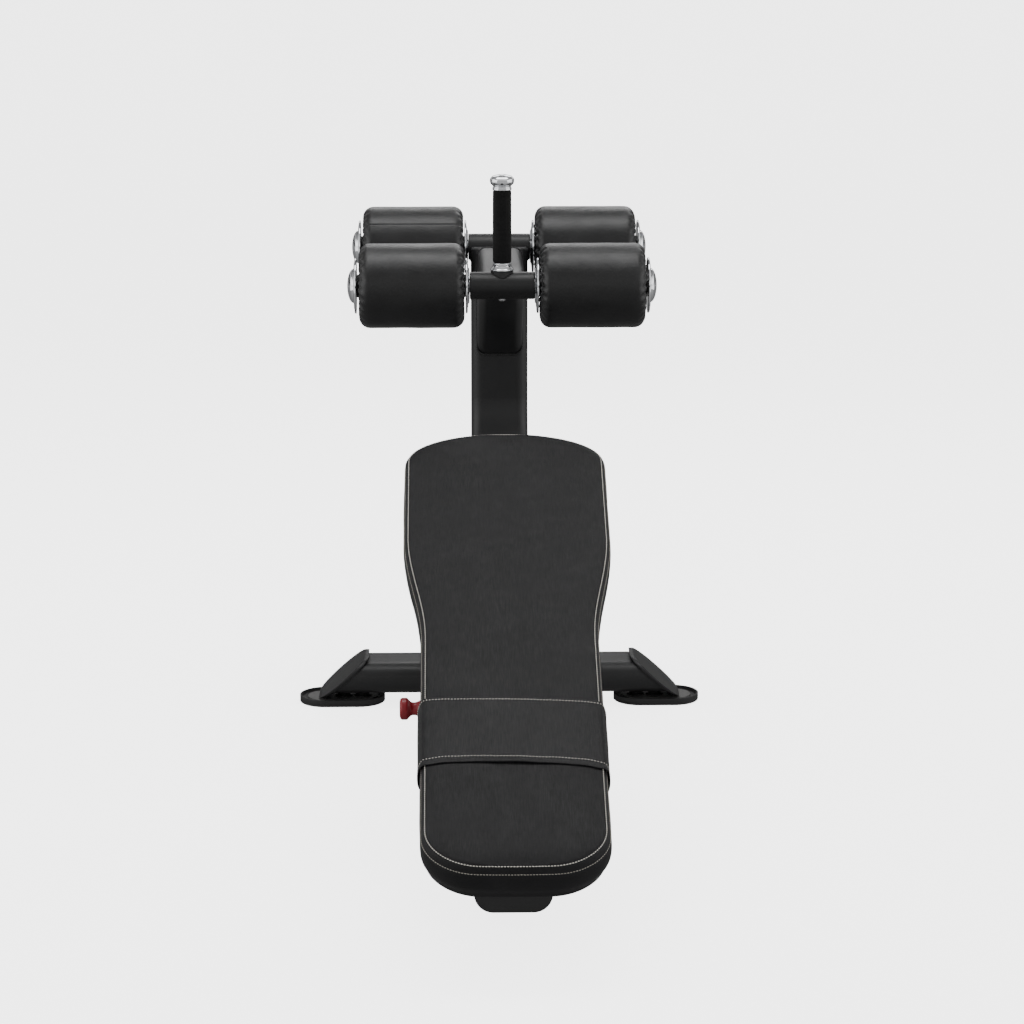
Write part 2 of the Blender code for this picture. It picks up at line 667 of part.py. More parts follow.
def make_sleeve(tilt, board_bottom):
    """A thin vinyl band round the pad's head end, open underneath where its hems are stapled to the board."""
    inside = sleeve_section(GAP * 2)
    outside = sleeve_section(GAP * 2 + SLEEVE_THICK)

    def mirrored(points):
        return [(-x, n) for x, n in points]

    right_out = outside[1:]
    right_in = inside[1:]
    outline = mirrored(reversed(right_out)) + right_out + list(reversed(right_in)) + mirrored(right_in)
    rings = [[pad_point(x, u, n) for x, n in outline] for u in SLEEVE_SPAN]
    add_object("wear_sleeve", skin(rings), "leather", tilt)


def sector_point(hinge, radius, angle, x):
    """A point on the selector: the angle is below the horizontal, towards the head end."""
    return Vector((x, hinge.y - radius * math.cos(angle), hinge.z - radius * math.sin(angle)))


def make_sector(tilt, hinge):
    """The curved plate with the selector holes, hung under the carrier tube."""
    inner = SELECTOR_RADIUS - SECTOR_HALF_WIDTH
    outer = SELECTOR_RADIUS + SECTOR_HALF_WIDTH
    last = SELECTOR_REST + SELECTOR_STEP * (SELECTOR_HOLES - 1)
    rise = BARREL_RADIUS - GAP

    def start(radius):
        return PAD_SLOPE - math.asin(rise / radius)

    steps = 12
    outline = []
    for k in range(steps + 1):
        angle = start(outer) + (last - start(outer)) * k / steps
        outline.append((outer * math.cos(angle), outer * math.sin(angle)))
    tip = (SELECTOR_RADIUS * math.cos(last), SELECTOR_RADIUS * math.sin(last))
    outline += arc(tip, SECTOR_HALF_WIDTH, last, last + math.pi, 8)[1:-1]
    for k in range(steps + 1):
        angle = last + (start(inner) - last) * k / steps
        outline.append((inner * math.cos(angle), inner * math.sin(angle)))
    half = SECTOR_THICK / 2
    rings = [[Vector((x, hinge.y - a, hinge.z - b)) for a, b in outline] for x in (-half, half)]
    sector = add_object("selector_sector", skin(rings), "steel", tilt)
    for k in range(SELECTOR_HOLES):
        place = sector_point(hinge, SELECTOR_RADIUS, SELECTOR_REST + SELECTOR_STEP * k, 0)
        hole = PIN_RADIUS + PIN_CLEARANCE
        cut(sector, turned(((-0.02, hole), (0.02, hole)), place, (1, 0, 0), 20), f"selector_hole_{k}")


def make_selector(hinge):
    """The two cheeks on the main beam, and the sprung pull pin that locks the sector."""
    pin = sector_point(hinge, SELECTOR_RADIUS, SELECTOR_REST, 0)
    floor = OVAL_Z + OVAL_HEIGHT / 2 + GAP
    width, length, thick = CHEEK_BASE
    base = box((-width / 2, width / 2), (pin.y - length / 2, pin.y + length / 2), (floor, floor + thick))
    add_object("selector_base", base, "powder_coat")

    foot = floor + thick + GAP
    top = arc((pin.y, pin.z), 0.026, math.pi, 0.0, 10)
    outline = [(pin.y - 0.040, foot), (pin.y - 0.030, foot + 0.05)] + top
    outline += [(pin.y + 0.030, foot + 0.05), (pin.y + 0.050, foot)]
    for side, label in ((-1, "left"), (1, "right")):
        faces = (side * CHEEK_INNER, side * (CHEEK_INNER + CHEEK_THICK))
        rings = [[Vector((x, y, z)) for y, z in outline] for x in faces]
        cheek = add_object("selector_cheek_" + label, skin(rings), "powder_coat")
        hole = PIN_RADIUS + PIN_CLEARANCE
        reach = (faces[0] - side * 0.01, faces[1] + side * 0.01)
        bore = turned([(x, hole) for x in reach], (0, pin.y, pin.z), (1, 0, 0), 20)
        cut(cheek, bore, "cheek_hole_" + label)

    start = -(CHEEK_INNER + CHEEK_THICK + GAP)
    hole = PIN_RADIUS + PIN_CLEARANCE
    shell = (
        (-start, PIN_BARREL_RADIUS),
        (-BARREL_END - 0.002, PIN_BARREL_RADIUS),
        (-BARREL_END, PIN_BARREL_RADIUS - 0.002),
        (-BARREL_END, hole),
        (-BARREL_END - 0.014, hole),
        (-BARREL_END - 0.014, 0.0115),
        (-start, 0.0115),
    )
    centre = (0, pin.y, pin.z)
    axis = (-1, 0, 0)
    barrel = revolve(shell, centre, axis, 24)
    add_object("pin_barrel", barrel, "powder_coat")

    pull = add_axis("pull_pin_axis", centre)
    rod = (
        (-PIN_TIP, PIN_RADIUS - 0.0015),
        (-PIN_TIP + 0.0015, PIN_RADIUS),
        (0.030, PIN_RADIUS),
        (0.030, 0.0105),
        (0.036, 0.0105),
        (0.036, PIN_RADIUS),
        (0.1375, PIN_RADIUS),
    )
    add_object("pull_pin", turned(rod, centre, axis, 20), "steel", pull)
    knob = (
        (0.1380, 0.0140),
        (0.1440, 0.0140),
        (0.1500, 0.0105),
        (0.1570, 0.0110),
        (0.1610, 0.0175),
        (0.1700, 0.0178),
        (0.1740, 0.0160),
        (0.1755, 0.0110),
    )
    add_object("pull_knob", turned(knob, centre, axis, 20), "red_plastic", pull)
    add_object("pin_spring", helix(centre, 0.0368, -BARREL_END - 0.0150, 0.0090), "steel")


def revolve(profile, place, axis, steps):
    """A turned ring: the closed profile never reaches the axis."""
    axis = Vector(axis).normalized()
    side = axis.orthogonal().normalized()
    up = axis.cross(side)
    rings = [[Vector(place) + axis * d + side * a + up * b for a, b in circle(r, steps)] for d, r in profile]
    return skin(rings, loop=True)


def helix(place, start, end, radius):
    """A compression spring along -X, as one closed wire."""
    per_turn, sides = 10, 5
    count = per_turn * SPRING_TURNS
    margin = SPRING_WIRE * 1.2
    rings = []
    for k in range(count + 1):
        angle = 2 * math.pi * k / per_turn
        reach = start + margin + (end - start - 2 * margin) * k / count
        out = Vector((0, math.cos(angle), math.sin(angle)))
        centre = Vector(place) + Vector((-reach, 0, 0)) + out * radius
        rings.append([centre + out * a + Vector((1, 0, 0)) * b for a, b in circle(SPRING_WIRE, sides)])
    return skin(rings)


def main():
    clear_scene()
    LOOKS.update(make_looks())
    make_floor_frame()
    for side, label in ((-1, "left"), (1, "right")):
        make_rear_foot(side, label)
    make_column()
    make_arm()
    make_bar("far", FAR_BAR)
    near_bar = make_bar("near", NEAR_BAR)
    for row, place in (("far", FAR_BAR), ("near", NEAR_BAR)):
        for side, label in ((-1, "left"), (1, "right")):
            make_roller(row, place, side, label)
    make_handle(near_bar)
    hinge = hinge_place()
    make_support(hinge)
    make_bench(add_axis("bench_tilt_axis", hinge))
    make_selector(hinge)


LOOKS = {}
main()
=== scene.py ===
"""Looks of the decline sit-up bench: fine surfaces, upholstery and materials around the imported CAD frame.

Metres, in the CAD's own frame: +Z up, +Y from the head end to the rollers, +X to the right.
"""

import json
import math

import bmesh
import bpy
import numpy as np
from mathutils import Matrix, Vector
from mathutils.bvhtree import BVHTree


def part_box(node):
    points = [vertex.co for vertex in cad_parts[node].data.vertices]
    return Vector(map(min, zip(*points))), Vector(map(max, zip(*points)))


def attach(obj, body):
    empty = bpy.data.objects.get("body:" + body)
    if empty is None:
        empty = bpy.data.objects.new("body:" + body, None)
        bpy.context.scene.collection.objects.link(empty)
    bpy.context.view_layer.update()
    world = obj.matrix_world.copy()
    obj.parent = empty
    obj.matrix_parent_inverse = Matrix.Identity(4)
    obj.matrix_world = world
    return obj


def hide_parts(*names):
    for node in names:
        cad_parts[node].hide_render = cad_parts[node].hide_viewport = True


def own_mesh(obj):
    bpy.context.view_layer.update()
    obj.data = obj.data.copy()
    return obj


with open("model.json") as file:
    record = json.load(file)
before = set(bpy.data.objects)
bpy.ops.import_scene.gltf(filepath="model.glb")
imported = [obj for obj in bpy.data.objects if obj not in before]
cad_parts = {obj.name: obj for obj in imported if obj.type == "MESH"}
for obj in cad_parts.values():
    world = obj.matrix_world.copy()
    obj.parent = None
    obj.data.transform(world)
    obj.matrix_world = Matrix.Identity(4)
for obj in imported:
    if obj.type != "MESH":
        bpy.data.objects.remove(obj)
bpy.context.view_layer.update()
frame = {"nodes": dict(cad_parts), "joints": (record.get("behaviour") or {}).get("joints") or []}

SCENE = bpy.context.scene
X, Z = Vector((1, 0, 0)), Vector((0, 0, 1))
SIDES = ((-1, "left"), (1, "right"))
RANDOM = np.random.default_rng(7)

# Camera and stage
LENS = 110.1
CAMERA_PLACE = (-0.098, -5.047, 1.655)
CAMERA_DOWN = math.radians(12.63)
CAMERA_PAN = math.radians(1.217)
SKY_STRENGTH = 0.80
SKY = (  # (place from straight down to straight up, brightness)
    (0.0, 0.40), (0.38, 0.55), (0.46, 0.80), (0.51, 0.10), (0.54, 0.12), (0.61, 1.50), (0.70, 1.00),
    (0.76, 0.25), (0.84, 0.75), (0.93, 0.65), (1.0, 0.9),
)
SKY_FRONT_TO_BACK = (-0.6, 0.6, 1.15, 0.50)  # from y, to y, brightness there
LAMPS = (  # name, place, target, width, height, watts
    ("overhead", (0.0, 0.4, 3.0), (0, 0.3, 0.5), 2.4, 1.0, 40),
    ("left_bank", (-3.0, -0.3, 1.3), (0, 0.3, 0.7), 3.4, 2.8, 46),
    ("right_bank", (3.0, -0.2, 1.3), (0, 0.3, 0.7), 3.4, 2.8, 40),
    ("back_bank", (0.4, 3.4, 2.4), (0, 0.4, 0.6), 2.6, 1.0, 26),
)

ROOM_RADIUS, ROOM_CURVE = 8.0, 4.0
FLOOR_DROP = 0.0002

# The pad's own frame: u down the slope from the far end, n out of the top face
SLOPE = math.radians(25)
DOWN = Vector((0, -math.cos(SLOPE), -math.sin(SLOPE)))
OUT = Vector((0, -math.sin(SLOPE), math.cos(SLOPE)))


def extent(node, axis):
    """How far a CAD node reaches along a direction, as (lowest, highest)."""
    reach = [v.co.dot(axis) for v in frame["nodes"][node].data.vertices]
    return min(reach), max(reach)


PAD_U0, PAD_U1 = extent("pad_cushion", DOWN)
PAD_N1, PAD_N0 = extent("pad_cushion", OUT)
PAD_LENGTH = PAD_U1 - PAD_U0
PAD_THICK = PAD_N0 - PAD_N1
HIP_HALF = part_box("pad_cushion")[1].x
HEAD_HALF = 0.141
WAIST = (0.275, 0.540)  # the pad narrows from hip to head between these
FAR_CORNER = (0.145, 0.068)
NEAR_CORNER = (0.080, 0.076)
FAR_BOW = 0.003
NEAR_BOW = 0.006
FAR_LIFT = 0.004
BOARD_INSET = 0.010
BOARD_FACE = extent("pad_board", OUT)[0] - PAD_N0  # the board's underside, from the pad's top


# ---------------------------------------------------------------- mesh tools


def length_of(v):
    return float(np.linalg.norm(v))


def rounded_rectangle(width, height, radius, steps=8):
    points = []
    for k, (sx, sy) in enumerate(((1, 1), (-1, 1), (-1, -1), (1, -1))):
        for j in range(steps + 1):
            a = (k + j / steps) * math.pi / 2
            x = sx * (width / 2 - radius) + radius * math.cos(a)
            points.append((x, sy * (height / 2 - radius) + radius * math.sin(a)))
    return points


def oval(width, height, steps=20):
    """A flat oval with half-round ends."""
    radius = min(width, height) / 2
    return rounded_rectangle(width, height, radius * 0.9999, steps // 2)


def circle(radius, steps=32, start=0.0):
    turns = [start + 2 * math.pi * k / steps for k in range(steps)]
    return [(radius * math.cos(a), radius * math.sin(a)) for a in turns]


def arc(centre, radius, start, end, steps):
    turns = np.linspace(math.radians(start), math.radians(end), steps + 1)
    return [(centre[0] + radius * math.cos(a), centre[1] + radius * math.sin(a)) for a in turns]


def soften(points, radius, steps=4):
    """A line through the points with its inner corners rounded."""
    out = [tuple(points[0])]
    for before, corner, after in zip(points, points[1:], points[2:]):
        before, corner, after = np.array(before), np.array(corner), np.array(after)
        back, ahead = length_of(before - corner), length_of(after - corner)
        r = min(radius, 0.45 * back, 0.45 * ahead)
        first = corner + (before - corner) / back * r
        last = corner + (after - corner) / ahead * r
        for k in range(steps + 1):
            t = k / steps
            out.append(tuple((1 - t) ** 2 * first + 2 * t * (1 - t) * corner + t * t * last))
    out.append(tuple(points[-1]))
    return out


def skin(rings, caps=True, loop=False):
    """Vertices and faces through closed rings of points."""
    count = len(rings[0])
    verts = [Vector(p) for ring in rings for p in ring]
    faces = []
    spans = len(rings) if loop else len(rings) - 1
    for r in range(spans):
        s = (r + 1) % len(rings)
        for i in range(count):
            j = (i + 1) % count
            faces.append((r * count + i, r * count + j, s * count + j, s * count + i))
    if caps and not loop:
        faces.append(tuple(reversed(range(count))))
        faces.append(tuple(range(len(verts) - count, len(verts))))
    return verts, faces


def mesh_of(name, verts, faces):
    mesh = bpy.data.meshes.new(name)
    mesh.from_pydata([tuple(v) for v in verts], [], faces)
    return mesh


def add_object(name, data):
    obj = bpy.data.objects.new(name, data)
    SCENE.collection.objects.link(obj)
    return obj


def blank_cover(name, verts, faces):
    """A cover before it is inflated, with its faces turned outwards."""
    cover = add_object(name, mesh_of(name, verts, faces))
    bm = bmesh.new()
    bm.from_mesh(cover.data)
    bmesh.ops.recalc_face_normals(bm, faces=bm.faces)
    bm.to_mesh(cover.data)
    bm.free()
    return cover


def add_piece(name, made, look, body, stands_for=(), sharp=30, bevel=0.0, subdivide=0):
    """Makes a named piece from (vertices, faces) or a mesh, rides it on its body and gives it its finish."""
    mesh = mesh_of(name, *made) if isinstance(made, tuple) else made
    bm = bmesh.new()
    bm.from_mesh(mesh)
    bmesh.ops.remove_doubles(bm, verts=bm.verts, dist=2e-6)
    bmesh.ops.dissolve_degenerate(bm, edges=bm.edges, dist=1e-7)
    bmesh.ops.recalc_face_normals(bm, faces=bm.faces)
    bm.to_mesh(mesh)
    bm.free()
    mesh.shade_smooth()
    mesh.set_sharp_from_angle(angle=math.radians(sharp))
    mesh.materials.clear()
    mesh.materials.append(LOOKS[look])
    obj = add_object(name, mesh)
    if bevel:
        edge = obj.modifiers.new("edge", "BEVEL")
        edge.width, edge.segments, edge.limit_method = bevel, 3, "ANGLE"
        edge.angle_limit, edge.loop_slide = math.radians(40), False
        level = obj.modifiers.new("level", "WEIGHTED_NORMAL")
        level.weight, level.keep_sharp = 100, False
    if subdivide:
        fine = obj.modifiers.new("fine", "SUBSURF")
        fine.levels = fine.render_levels = subdivide
    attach(obj, body)
    if stands_for:
        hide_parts(*([stands_for] if isinstance(stands_for, str) else stands_for))
    return obj


def lathe(profile, place, axis, steps=72, loop=False):
    """A turned shape from (distance along the axis, radius) pairs."""
    axis = Vector(axis).normalized()
    side = Z.cross(axis).normalized() if abs(axis.z) < 0.9 else X
    up = axis.cross(side)
    rings = []
    for d, r in profile:
        middle = Vector(place) + axis * d
        rings.append([middle + side * a + up * b for a, b in circle(max(r, 1e-7), steps)])
    return skin(rings, loop=loop)


def shifted(start, profile):
    return [(start + d, r) for d, r in profile]


def joint_end(name, key):
    """The far limit of a joint in the record."""
    return next(j for j in frame["joints"] if j["name"] == name)[key][1]


def add_turned(name, profile, place, axis, look, body, stands_for, rounding, cuts, steps,
               loop=False, sharp=30):
    """A lathed piece whose profile has rounded corners. A loop is hollow: its profile closes on itself."""
    made = lathe(soften(profile, rounding, cuts), place, axis, steps, loop)
    return add_piece(name, made, look, body, stands_for, sharp=sharp)


def slab(loops, thick, place):
    """A flat plate with holes: the first loop is its outline, and place maps (a, b, c) to the frame."""
    bm = bmesh.new()
    edges = []
    for loop in loops:
        verts = [bm.verts.new((a, b, 0)) for a, b in loop]
        edges += [bm.edges.new((v, verts[(i + 1) % len(verts)])) for i, v in enumerate(verts)]
    filled = bmesh.ops.triangle_fill(bm, use_beauty=True, use_dissolve=False, edges=edges)
    faces = [g for g in filled["geom"] if isinstance(g, bmesh.types.BMFace)]
    raised = bmesh.ops.extrude_face_region(bm, geom=faces)
    top = [g for g in raised["geom"] if isinstance(g, bmesh.types.BMVert)]
    bmesh.ops.translate(bm, vec=(0, 0, thick), verts=top)
    for v in bm.verts:
        v.co = place(*v.co)
    mesh = bpy.data.meshes.new("slab")
    bm.to_mesh(mesh)
    bm.free()
    return mesh


def sweep(points, radius, sides=8, closed=False, ripple=0.0, pitch=0.004):
    """A round bead along points. A ripple makes it look like a weld's row of scales."""
    points = [Vector(p) for p in points]
    count = len(points)
    rings, travelled, normal = [], 0.0, None
    for i, p in enumerate(points):
        ahead = points[(i + 1) % count] if closed or i + 1 < count else p
        behind = points[i - 1] if closed or i else p
        tangent = (ahead - behind).normalized()
        if normal is None:
            normal = tangent.orthogonal().normalized()
        normal = (normal - tangent * normal.dot(tangent)).normalized()
        side = tangent.cross(normal)
        swell = radius * (1 + ripple * math.cos(2 * math.pi * travelled / pitch))
        rings.append([p + normal * a * swell + side * b * swell for a, b in circle(1, sides)])
        travelled += (ahead - p).length
    return skin(rings, loop=closed)


def spaced(points, step, closed=False):
    """Points at even distances along a line."""
    line = np.array([list(p) for p in points] + ([list(points[0])] if closed else []))
    runs = np.linalg.norm(np.diff(line, axis=0), axis=1)
    at = np.concatenate([[0], np.cumsum(runs)])
    count = max(2, int(round(at[-1] / step)))
    marks = np.linspace(0, at[-1], count, endpoint=not closed)
    return np.stack([np.interp(marks, at, line[:, k]) for k in range(3)], axis=1)


def add_weld(name, points, body, closed=False, radius=0.0024):
    fine = spaced(points, 0.0011, closed)
    add_piece(name, sweep(fine, radius, 6, closed, ripple=0.22), "powder_coat", body, sharp=180)


def scatter(shape, places):
    """Copies of one small (vertices, faces) shape at 4x4 matrices, as one mesh's data."""
    base = np.array([list(v) for v in shape[0]])
    verts, faces = [], []
    for k, place in enumerate(places):
        m = np.array(place)
        verts.append(base @ m[:3, :3].T + m[:3, 3])
        faces += [tuple(i + k * len(base) for i in face) for face in shape[1]]
    return [Vector(v) for v in np.concatenate(verts)], faces


def frame_at(place, along, out):
    """A matrix whose x runs along and whose z points out."""
    along = Vector(along).normalized()
    out = (Vector(out) - along * Vector(out).dot(along)).normalized()
    side = out.cross(along)
    m = Matrix.Identity(4)
    for k, column in enumerate((along, side, out)):
        m.col[k][:3] = column
    m.col[3][:3] = Vector(place)
    return m


def hexagon_reach(turn):
    """How much farther a hexagon's outline is than its flats, in the direction of a turn."""
    return 1 / math.cos((turn + math.pi / 6) % (math.pi / 3) - math.pi / 6)


def hex_head(across=0.010, height=0.0055, washer=0.0075):
    """A washer with a hexagon bolt head and its chamfer, standing on z = 0."""
    rings = [[(a, b, z) for a, b in circle(r, 24)] for z, r in soften(
        [(0, 0.001), (0, washer), (0.0013, washer), (0.0013, across * 0.6)], 0.0004, 2)]
    verts, faces = skin(rings, caps=False)
    corner = across / 2 / math.cos(math.pi / 6)
    tops = ((0.0013, 1.0), (height * 0.86, 1.0), (height, 0.86), (height, 0.2))
    rings = [[(a * s, b * s, z) for a, b in circle(corner, 6)] for z, s in tops]
    more, more_faces = skin(rings)
    return verts + more, faces + [tuple(i + len(verts) for i in f) for f in more_faces]


def cap_screw(radius=0.0065, height=0.0045):
    """A button-head screw with a hexagon recess, standing on z = 0."""
    dome = [(0, radius), (height * 0.4, radius), (height * 0.8, radius * 0.8), (height, radius * 0.52)]
    rings = [[(a, b, z) for a, b in circle(r, 24)] for z, r in soften(dome, radius * 0.3, 3)]
    socket = [(height, radius * 0.46), (height * 0.35, radius * 0.46), (height * 0.35, radius * 0.05)]
    turns = [2 * math.pi * k / 24 for k in range(24)]
    for z, r in socket:
        reach = [r * hexagon_reach(a) for a in turns]
        rings.append([(h * math.cos(a), h * math.sin(a), z) for a, h in zip(turns, reach)])
    return skin(rings)


def coords(mesh):
    co = np.zeros(len(mesh.vertices) * 3)
    mesh.vertices.foreach_get("co", co)
    return co.reshape(-1, 3)


def set_coords(mesh, points):
    mesh.vertices.foreach_set("co", np.asarray(points, dtype=np.float32).ravel())
    mesh.update()


def normals_of(mesh):
    no = np.zeros(len(mesh.vertices) * 3)
    mesh.vertex_normals.foreach_get("vector", no)
    return no.reshape(-1, 3)


def waves(points, seed, sizes):
    """Smooth pseudo-random heights from a few crossing sine waves of the given sizes."""
    rng = np.random.default_rng(seed)
    height = np.zeros(len(points))
    for size in sizes:
        for _ in range(3):
            direction = rng.normal(size=3)
            direction /= np.linalg.norm(direction)
            phase = rng.uniform(0, 2 * math.pi)
            height += np.sin(points @ direction * 2 * math.pi / size + phase) / (3 * len(sizes))
    return height


def puff(obj, held, cap, pressure=4.0, frames=20):
    """Inflates a cover by cloth simulation. held is 1 where it is sewn or stapled, cap limits the move."""
    mesh = obj.data
    rest = coords(mesh)
    group = obj.vertex_groups.new(name="held")
    for weight in np.unique(np.round(held, 2)):
        if weight > 0:
            group.add([int(i) for i in np.nonzero(np.round(held, 2) == weight)[0]], float(weight), "REPLACE")
    cloth = obj.modifiers.new("cloth", "CLOTH")
    cloth.settings.quality = 5
    cloth.settings.use_pressure = True
    cloth.settings.uniform_pressure_force = pressure
    cloth.settings.vertex_group_mass = "held"
    cloth.settings.effector_weights.gravity = 0
    cloth.point_cache.frame_start = 1
    cloth.point_cache.frame_end = frames
    for f in range(1, frames + 1):
        SCENE.frame_set(f)
    swollen = obj.evaluated_get(bpy.context.evaluated_depsgraph_get())
    moved = coords(swollen.data) - rest
    obj.modifiers.remove(cloth)
    SCENE.frame_set(1)
    size = np.linalg.norm(moved, axis=1)[:, None] + 1e-12
    limit = (cap if np.ndim(cap) else np.full(len(rest), cap))[:, None]
    set_coords(mesh, rest + moved / size * limit * np.tanh(size / limit))


# ---------------------------------------------------------------- materials


class Look:
    """A Principled material with procedural colour, roughness and bump, in metres of the frame."""

    def __init__(self, name, colour, roughness, metallic=0.0, **sockets):
        self.name = name
        self.material = bpy.data.materials.new(name)
        self.material.use_nodes = True
        self.tree = self.material.node_tree
        self.shader = self.tree.nodes["Principled BSDF"]
        self.shader.inputs["Base Color"].default_value = (*colour, 1)
        self.shader.inputs["Roughness"].default_value = roughness
        self.shader.inputs["Metallic"].default_value = metallic
        for socket, value in sockets.items():
            self.shader.inputs[socket.replace("_", " ")].default_value = value
        self.place = self.tree.nodes.new("ShaderNodeTexCoord").outputs["Object"]

    def node(self, kind, inputs=(), **settings):
        made = self.tree.nodes.new("ShaderNode" + kind)
        for key, value in settings.items():
            setattr(made, key, value)
        for key, value in dict(inputs).items():
            if isinstance(value, bpy.types.NodeSocket):
                self.tree.links.new(value, made.inputs[key])
            else:
                made.inputs[key].default_value = value
        return made

    def stretched(self, scale, turn=0.0):
        """Coordinates scaled apart on each axis, after a turn about X that follows the pad's slope."""
        turned = self.node("Mapping", {"Vector": self.place, "Rotation": (turn, 0, 0)})
        return self.node("Mapping", {"Vector": turned.outputs[0], "Scale": scale}).outputs[0]

    def noise(self, scale, detail=4.0, rough=0.55, place=None, distortion=0.0):
        return self.node("TexNoise", {
            "Vector": place or self.place, "Scale": scale, "Detail": detail,
            "Roughness": rough, "Distortion": distortion,
        }).outputs["Fac"]

    def cells(self, scale, feature="DISTANCE_TO_EDGE", place=None):
        return self.node(
            "TexVoronoi", {"Vector": place or self.place, "Scale": scale}, feature=feature
        ).outputs["Distance"]

    def bands(self, scale, direction, distortion=0.0, place=None):
        return self.node("TexWave", {
            "Vector": place or self.place, "Scale": scale, "Distortion": distortion, "Detail": 2.0,
        }, bands_direction=direction).outputs["Fac"]

    def level(self, source, low, high, start=0.3, end=0.7):
        """Maps a texture's start..end to low..high."""
        return self.node("MapRange", {
            "Value": source, "From Min": start, "From Max": end, "To Min": low, "To Max": high,
        }).outputs["Result"]

    def blend(self, fac, a, b):
        made = self.node("Mix", data_type="RGBA")
        for socket, value in ((0, fac), (6, a), (7, b)):
            if isinstance(value, bpy.types.NodeSocket):
                self.tree.links.new(value, made.inputs[socket])
            else:
                made.inputs[socket].default_value = value if socket == 0 else (*value, 1)
        return made.outputs[2]

    def add(self, a, b, operation="ADD"):
        return self.node("Math", {0: a, 1: b}, operation=operation).outputs[0]

    def feed(self, **sources):
        for socket, value in sources.items():
            self.tree.links.new(value, self.shader.inputs[socket.replace("_", " ")])
        return self

    def bump(self, *layers):
        """Layers of (height texture, strength, distance in metres), the coarse one first."""
        normal = None
        for height, strength, distance in layers:
            inputs = {"Height": height, "Strength": strength, "Distance": distance}
            if normal:
                inputs["Normal"] = normal
            normal = self.node("Bump", inputs).outputs[0]
        return self.feed(Normal=normal)

    def edges(self, start=0.52, end=0.60):
        """1 on convex edges, where a finish wears, and 0 elsewhere."""
        return self.level(self.node("NewGeometry").outputs["Pointiness"], 0.0, 1.0, start, end)


def metal_look(name, colour, low, high, streak=0.0):
    look = Look(name, colour, low, 1.0)
    soft = look.noise(18, 5)
    fine = look.noise(420, 3)
    look.feed(
        Base_Color=look.blend(look.level(soft, 0, 1), tuple(c * 0.88 for c in colour), colour),
        Roughness=look.level(look.add(soft, fine, "MULTIPLY"), low, high, 0.15, 0.40),
    )
    long = look.noise(160, 3, place=look.stretched((1.0, 14.0, 14.0)))
    return look.bump((long, streak, 0.0002), (fine, 0.02, 0.0001))


def paint_look():
    colour, worn = (0.010, 0.010, 0.0104), (0.034, 0.034, 0.035)
    look = Look("powder_coat", colour, 0.4, 0.0, Specular_IOR_Level=0.38)
    broad, peel = look.noise(7, 4), look.noise(1150, 2)
    chips = look.add(look.edges(), look.level(look.noise(90, 5), 0, 1, 0.45, 0.75), "MULTIPLY")
    tint = look.blend(look.level(broad, 0, 1), (0.0085, 0.0085, 0.0089), (0.0135, 0.0135, 0.0140))
    speck = look.level(look.noise(2600, 2), 0, 0.35, 0.55, 0.75)
    tint = look.blend(speck, tint, (0.022, 0.022, 0.0225))
    tint = look.blend(chips, tint, worn)
    look.feed(Base_Color=tint, Roughness=look.level(look.add(broad, peel), 0.36, 0.50, 0.8, 1.2))
    return look.bump((broad, 0.05, 0.002), (peel, 0.22, 0.00028))


def vinyl_look(name, dark, light, roughness, grain, linen, turn, gloss=0.17, relief=0.34):
    """Black vinyl: fine cell grain, a soft lengthwise linen pattern and hand-worn lighter patches."""
    look = Look(name, dark, roughness, 0.0, Sheen_Weight=0.03, Sheen_Roughness=0.45, Specular_IOR_Level=gloss)
    lengthwise = look.stretched((1.0, 0.06, 1.0), turn)
    smudge = look.noise(6.5, 5, 0.6, distortion=0.6)
    scuff = look.noise(38, 6, 0.7)
    thread = look.noise(820, 2, place=lengthwise)
    patches = look.add(look.level(smudge, 0, 0.9, 0.42, 0.72), look.level(scuff, 0, 0.35, 0.5, 0.8))
    tint = look.blend(patches, dark, light)
    tint = look.blend(look.level(thread, 0, linen, 0.35, 0.65), tint, tuple(c * 1.5 for c in light))
    cells = look.cells(grain)
    wear = look.level(look.add(smudge, scuff), roughness - 0.06, roughness + 0.08, 0.8, 1.2)
    look.feed(Base_Color=tint, Roughness=wear)
    return look.bump(
        (smudge, 0.10, 0.0015),
        (thread, 0.16 * min(1, linen * 4), 0.00022),
        (look.level(cells, 0, 1, 0.0, 0.25), relief, 0.00018),
        (look.noise(grain * 2.2, 2), 0.10, 0.0001),
    )


def plain_look(name, dark, light, roughness, grain, depth, broad=25, **sockets):
    """A moulded finish: soft colour variation, uneven gloss and a fine grain."""
    look = Look(name, dark, roughness, 0.0, **sockets)
    soft, fine = look.noise(broad, 4), look.noise(grain, 3, 0.6)
    tint = look.blend(look.level(soft, 0, 1), dark, light)
    rubbed = look.level(look.edges(), 0, 0.3, 0, 1)
    look.feed(Base_Color=look.blend(rubbed, tint, tuple(c * 1.6 for c in light)))
    look.feed(Roughness=look.level(look.add(soft, fine), roughness - 0.05, roughness + 0.07, 0.8, 1.2))
    return look.bump((fine, depth, 0.0003), (look.noise(grain * 3, 2), depth * 0.5, 0.0001))


def foam_look():
    matt = {"Specular_IOR_Level": 0.2, "Sheen_Weight": 0.03, "Sheen_Roughness": 0.6}
    look = Look("grip_foam", (0.004, 0.004, 0.004), 0.88, **matt)
    cells, soft = look.cells(900, "F1"), look.noise(60, 4)
    pores = look.level(cells, 0, 1, 0.2, 0.8)
    look.feed(Base_Color=look.blend(pores, (0.0030, 0.0030, 0.0030), (0.0080, 0.0080, 0.0080)))
    look.feed(Roughness=look.level(soft, 0.82, 0.95))
    return look.bump((soft, 0.15, 0.0006), (cells, 0.5, 0.0004))


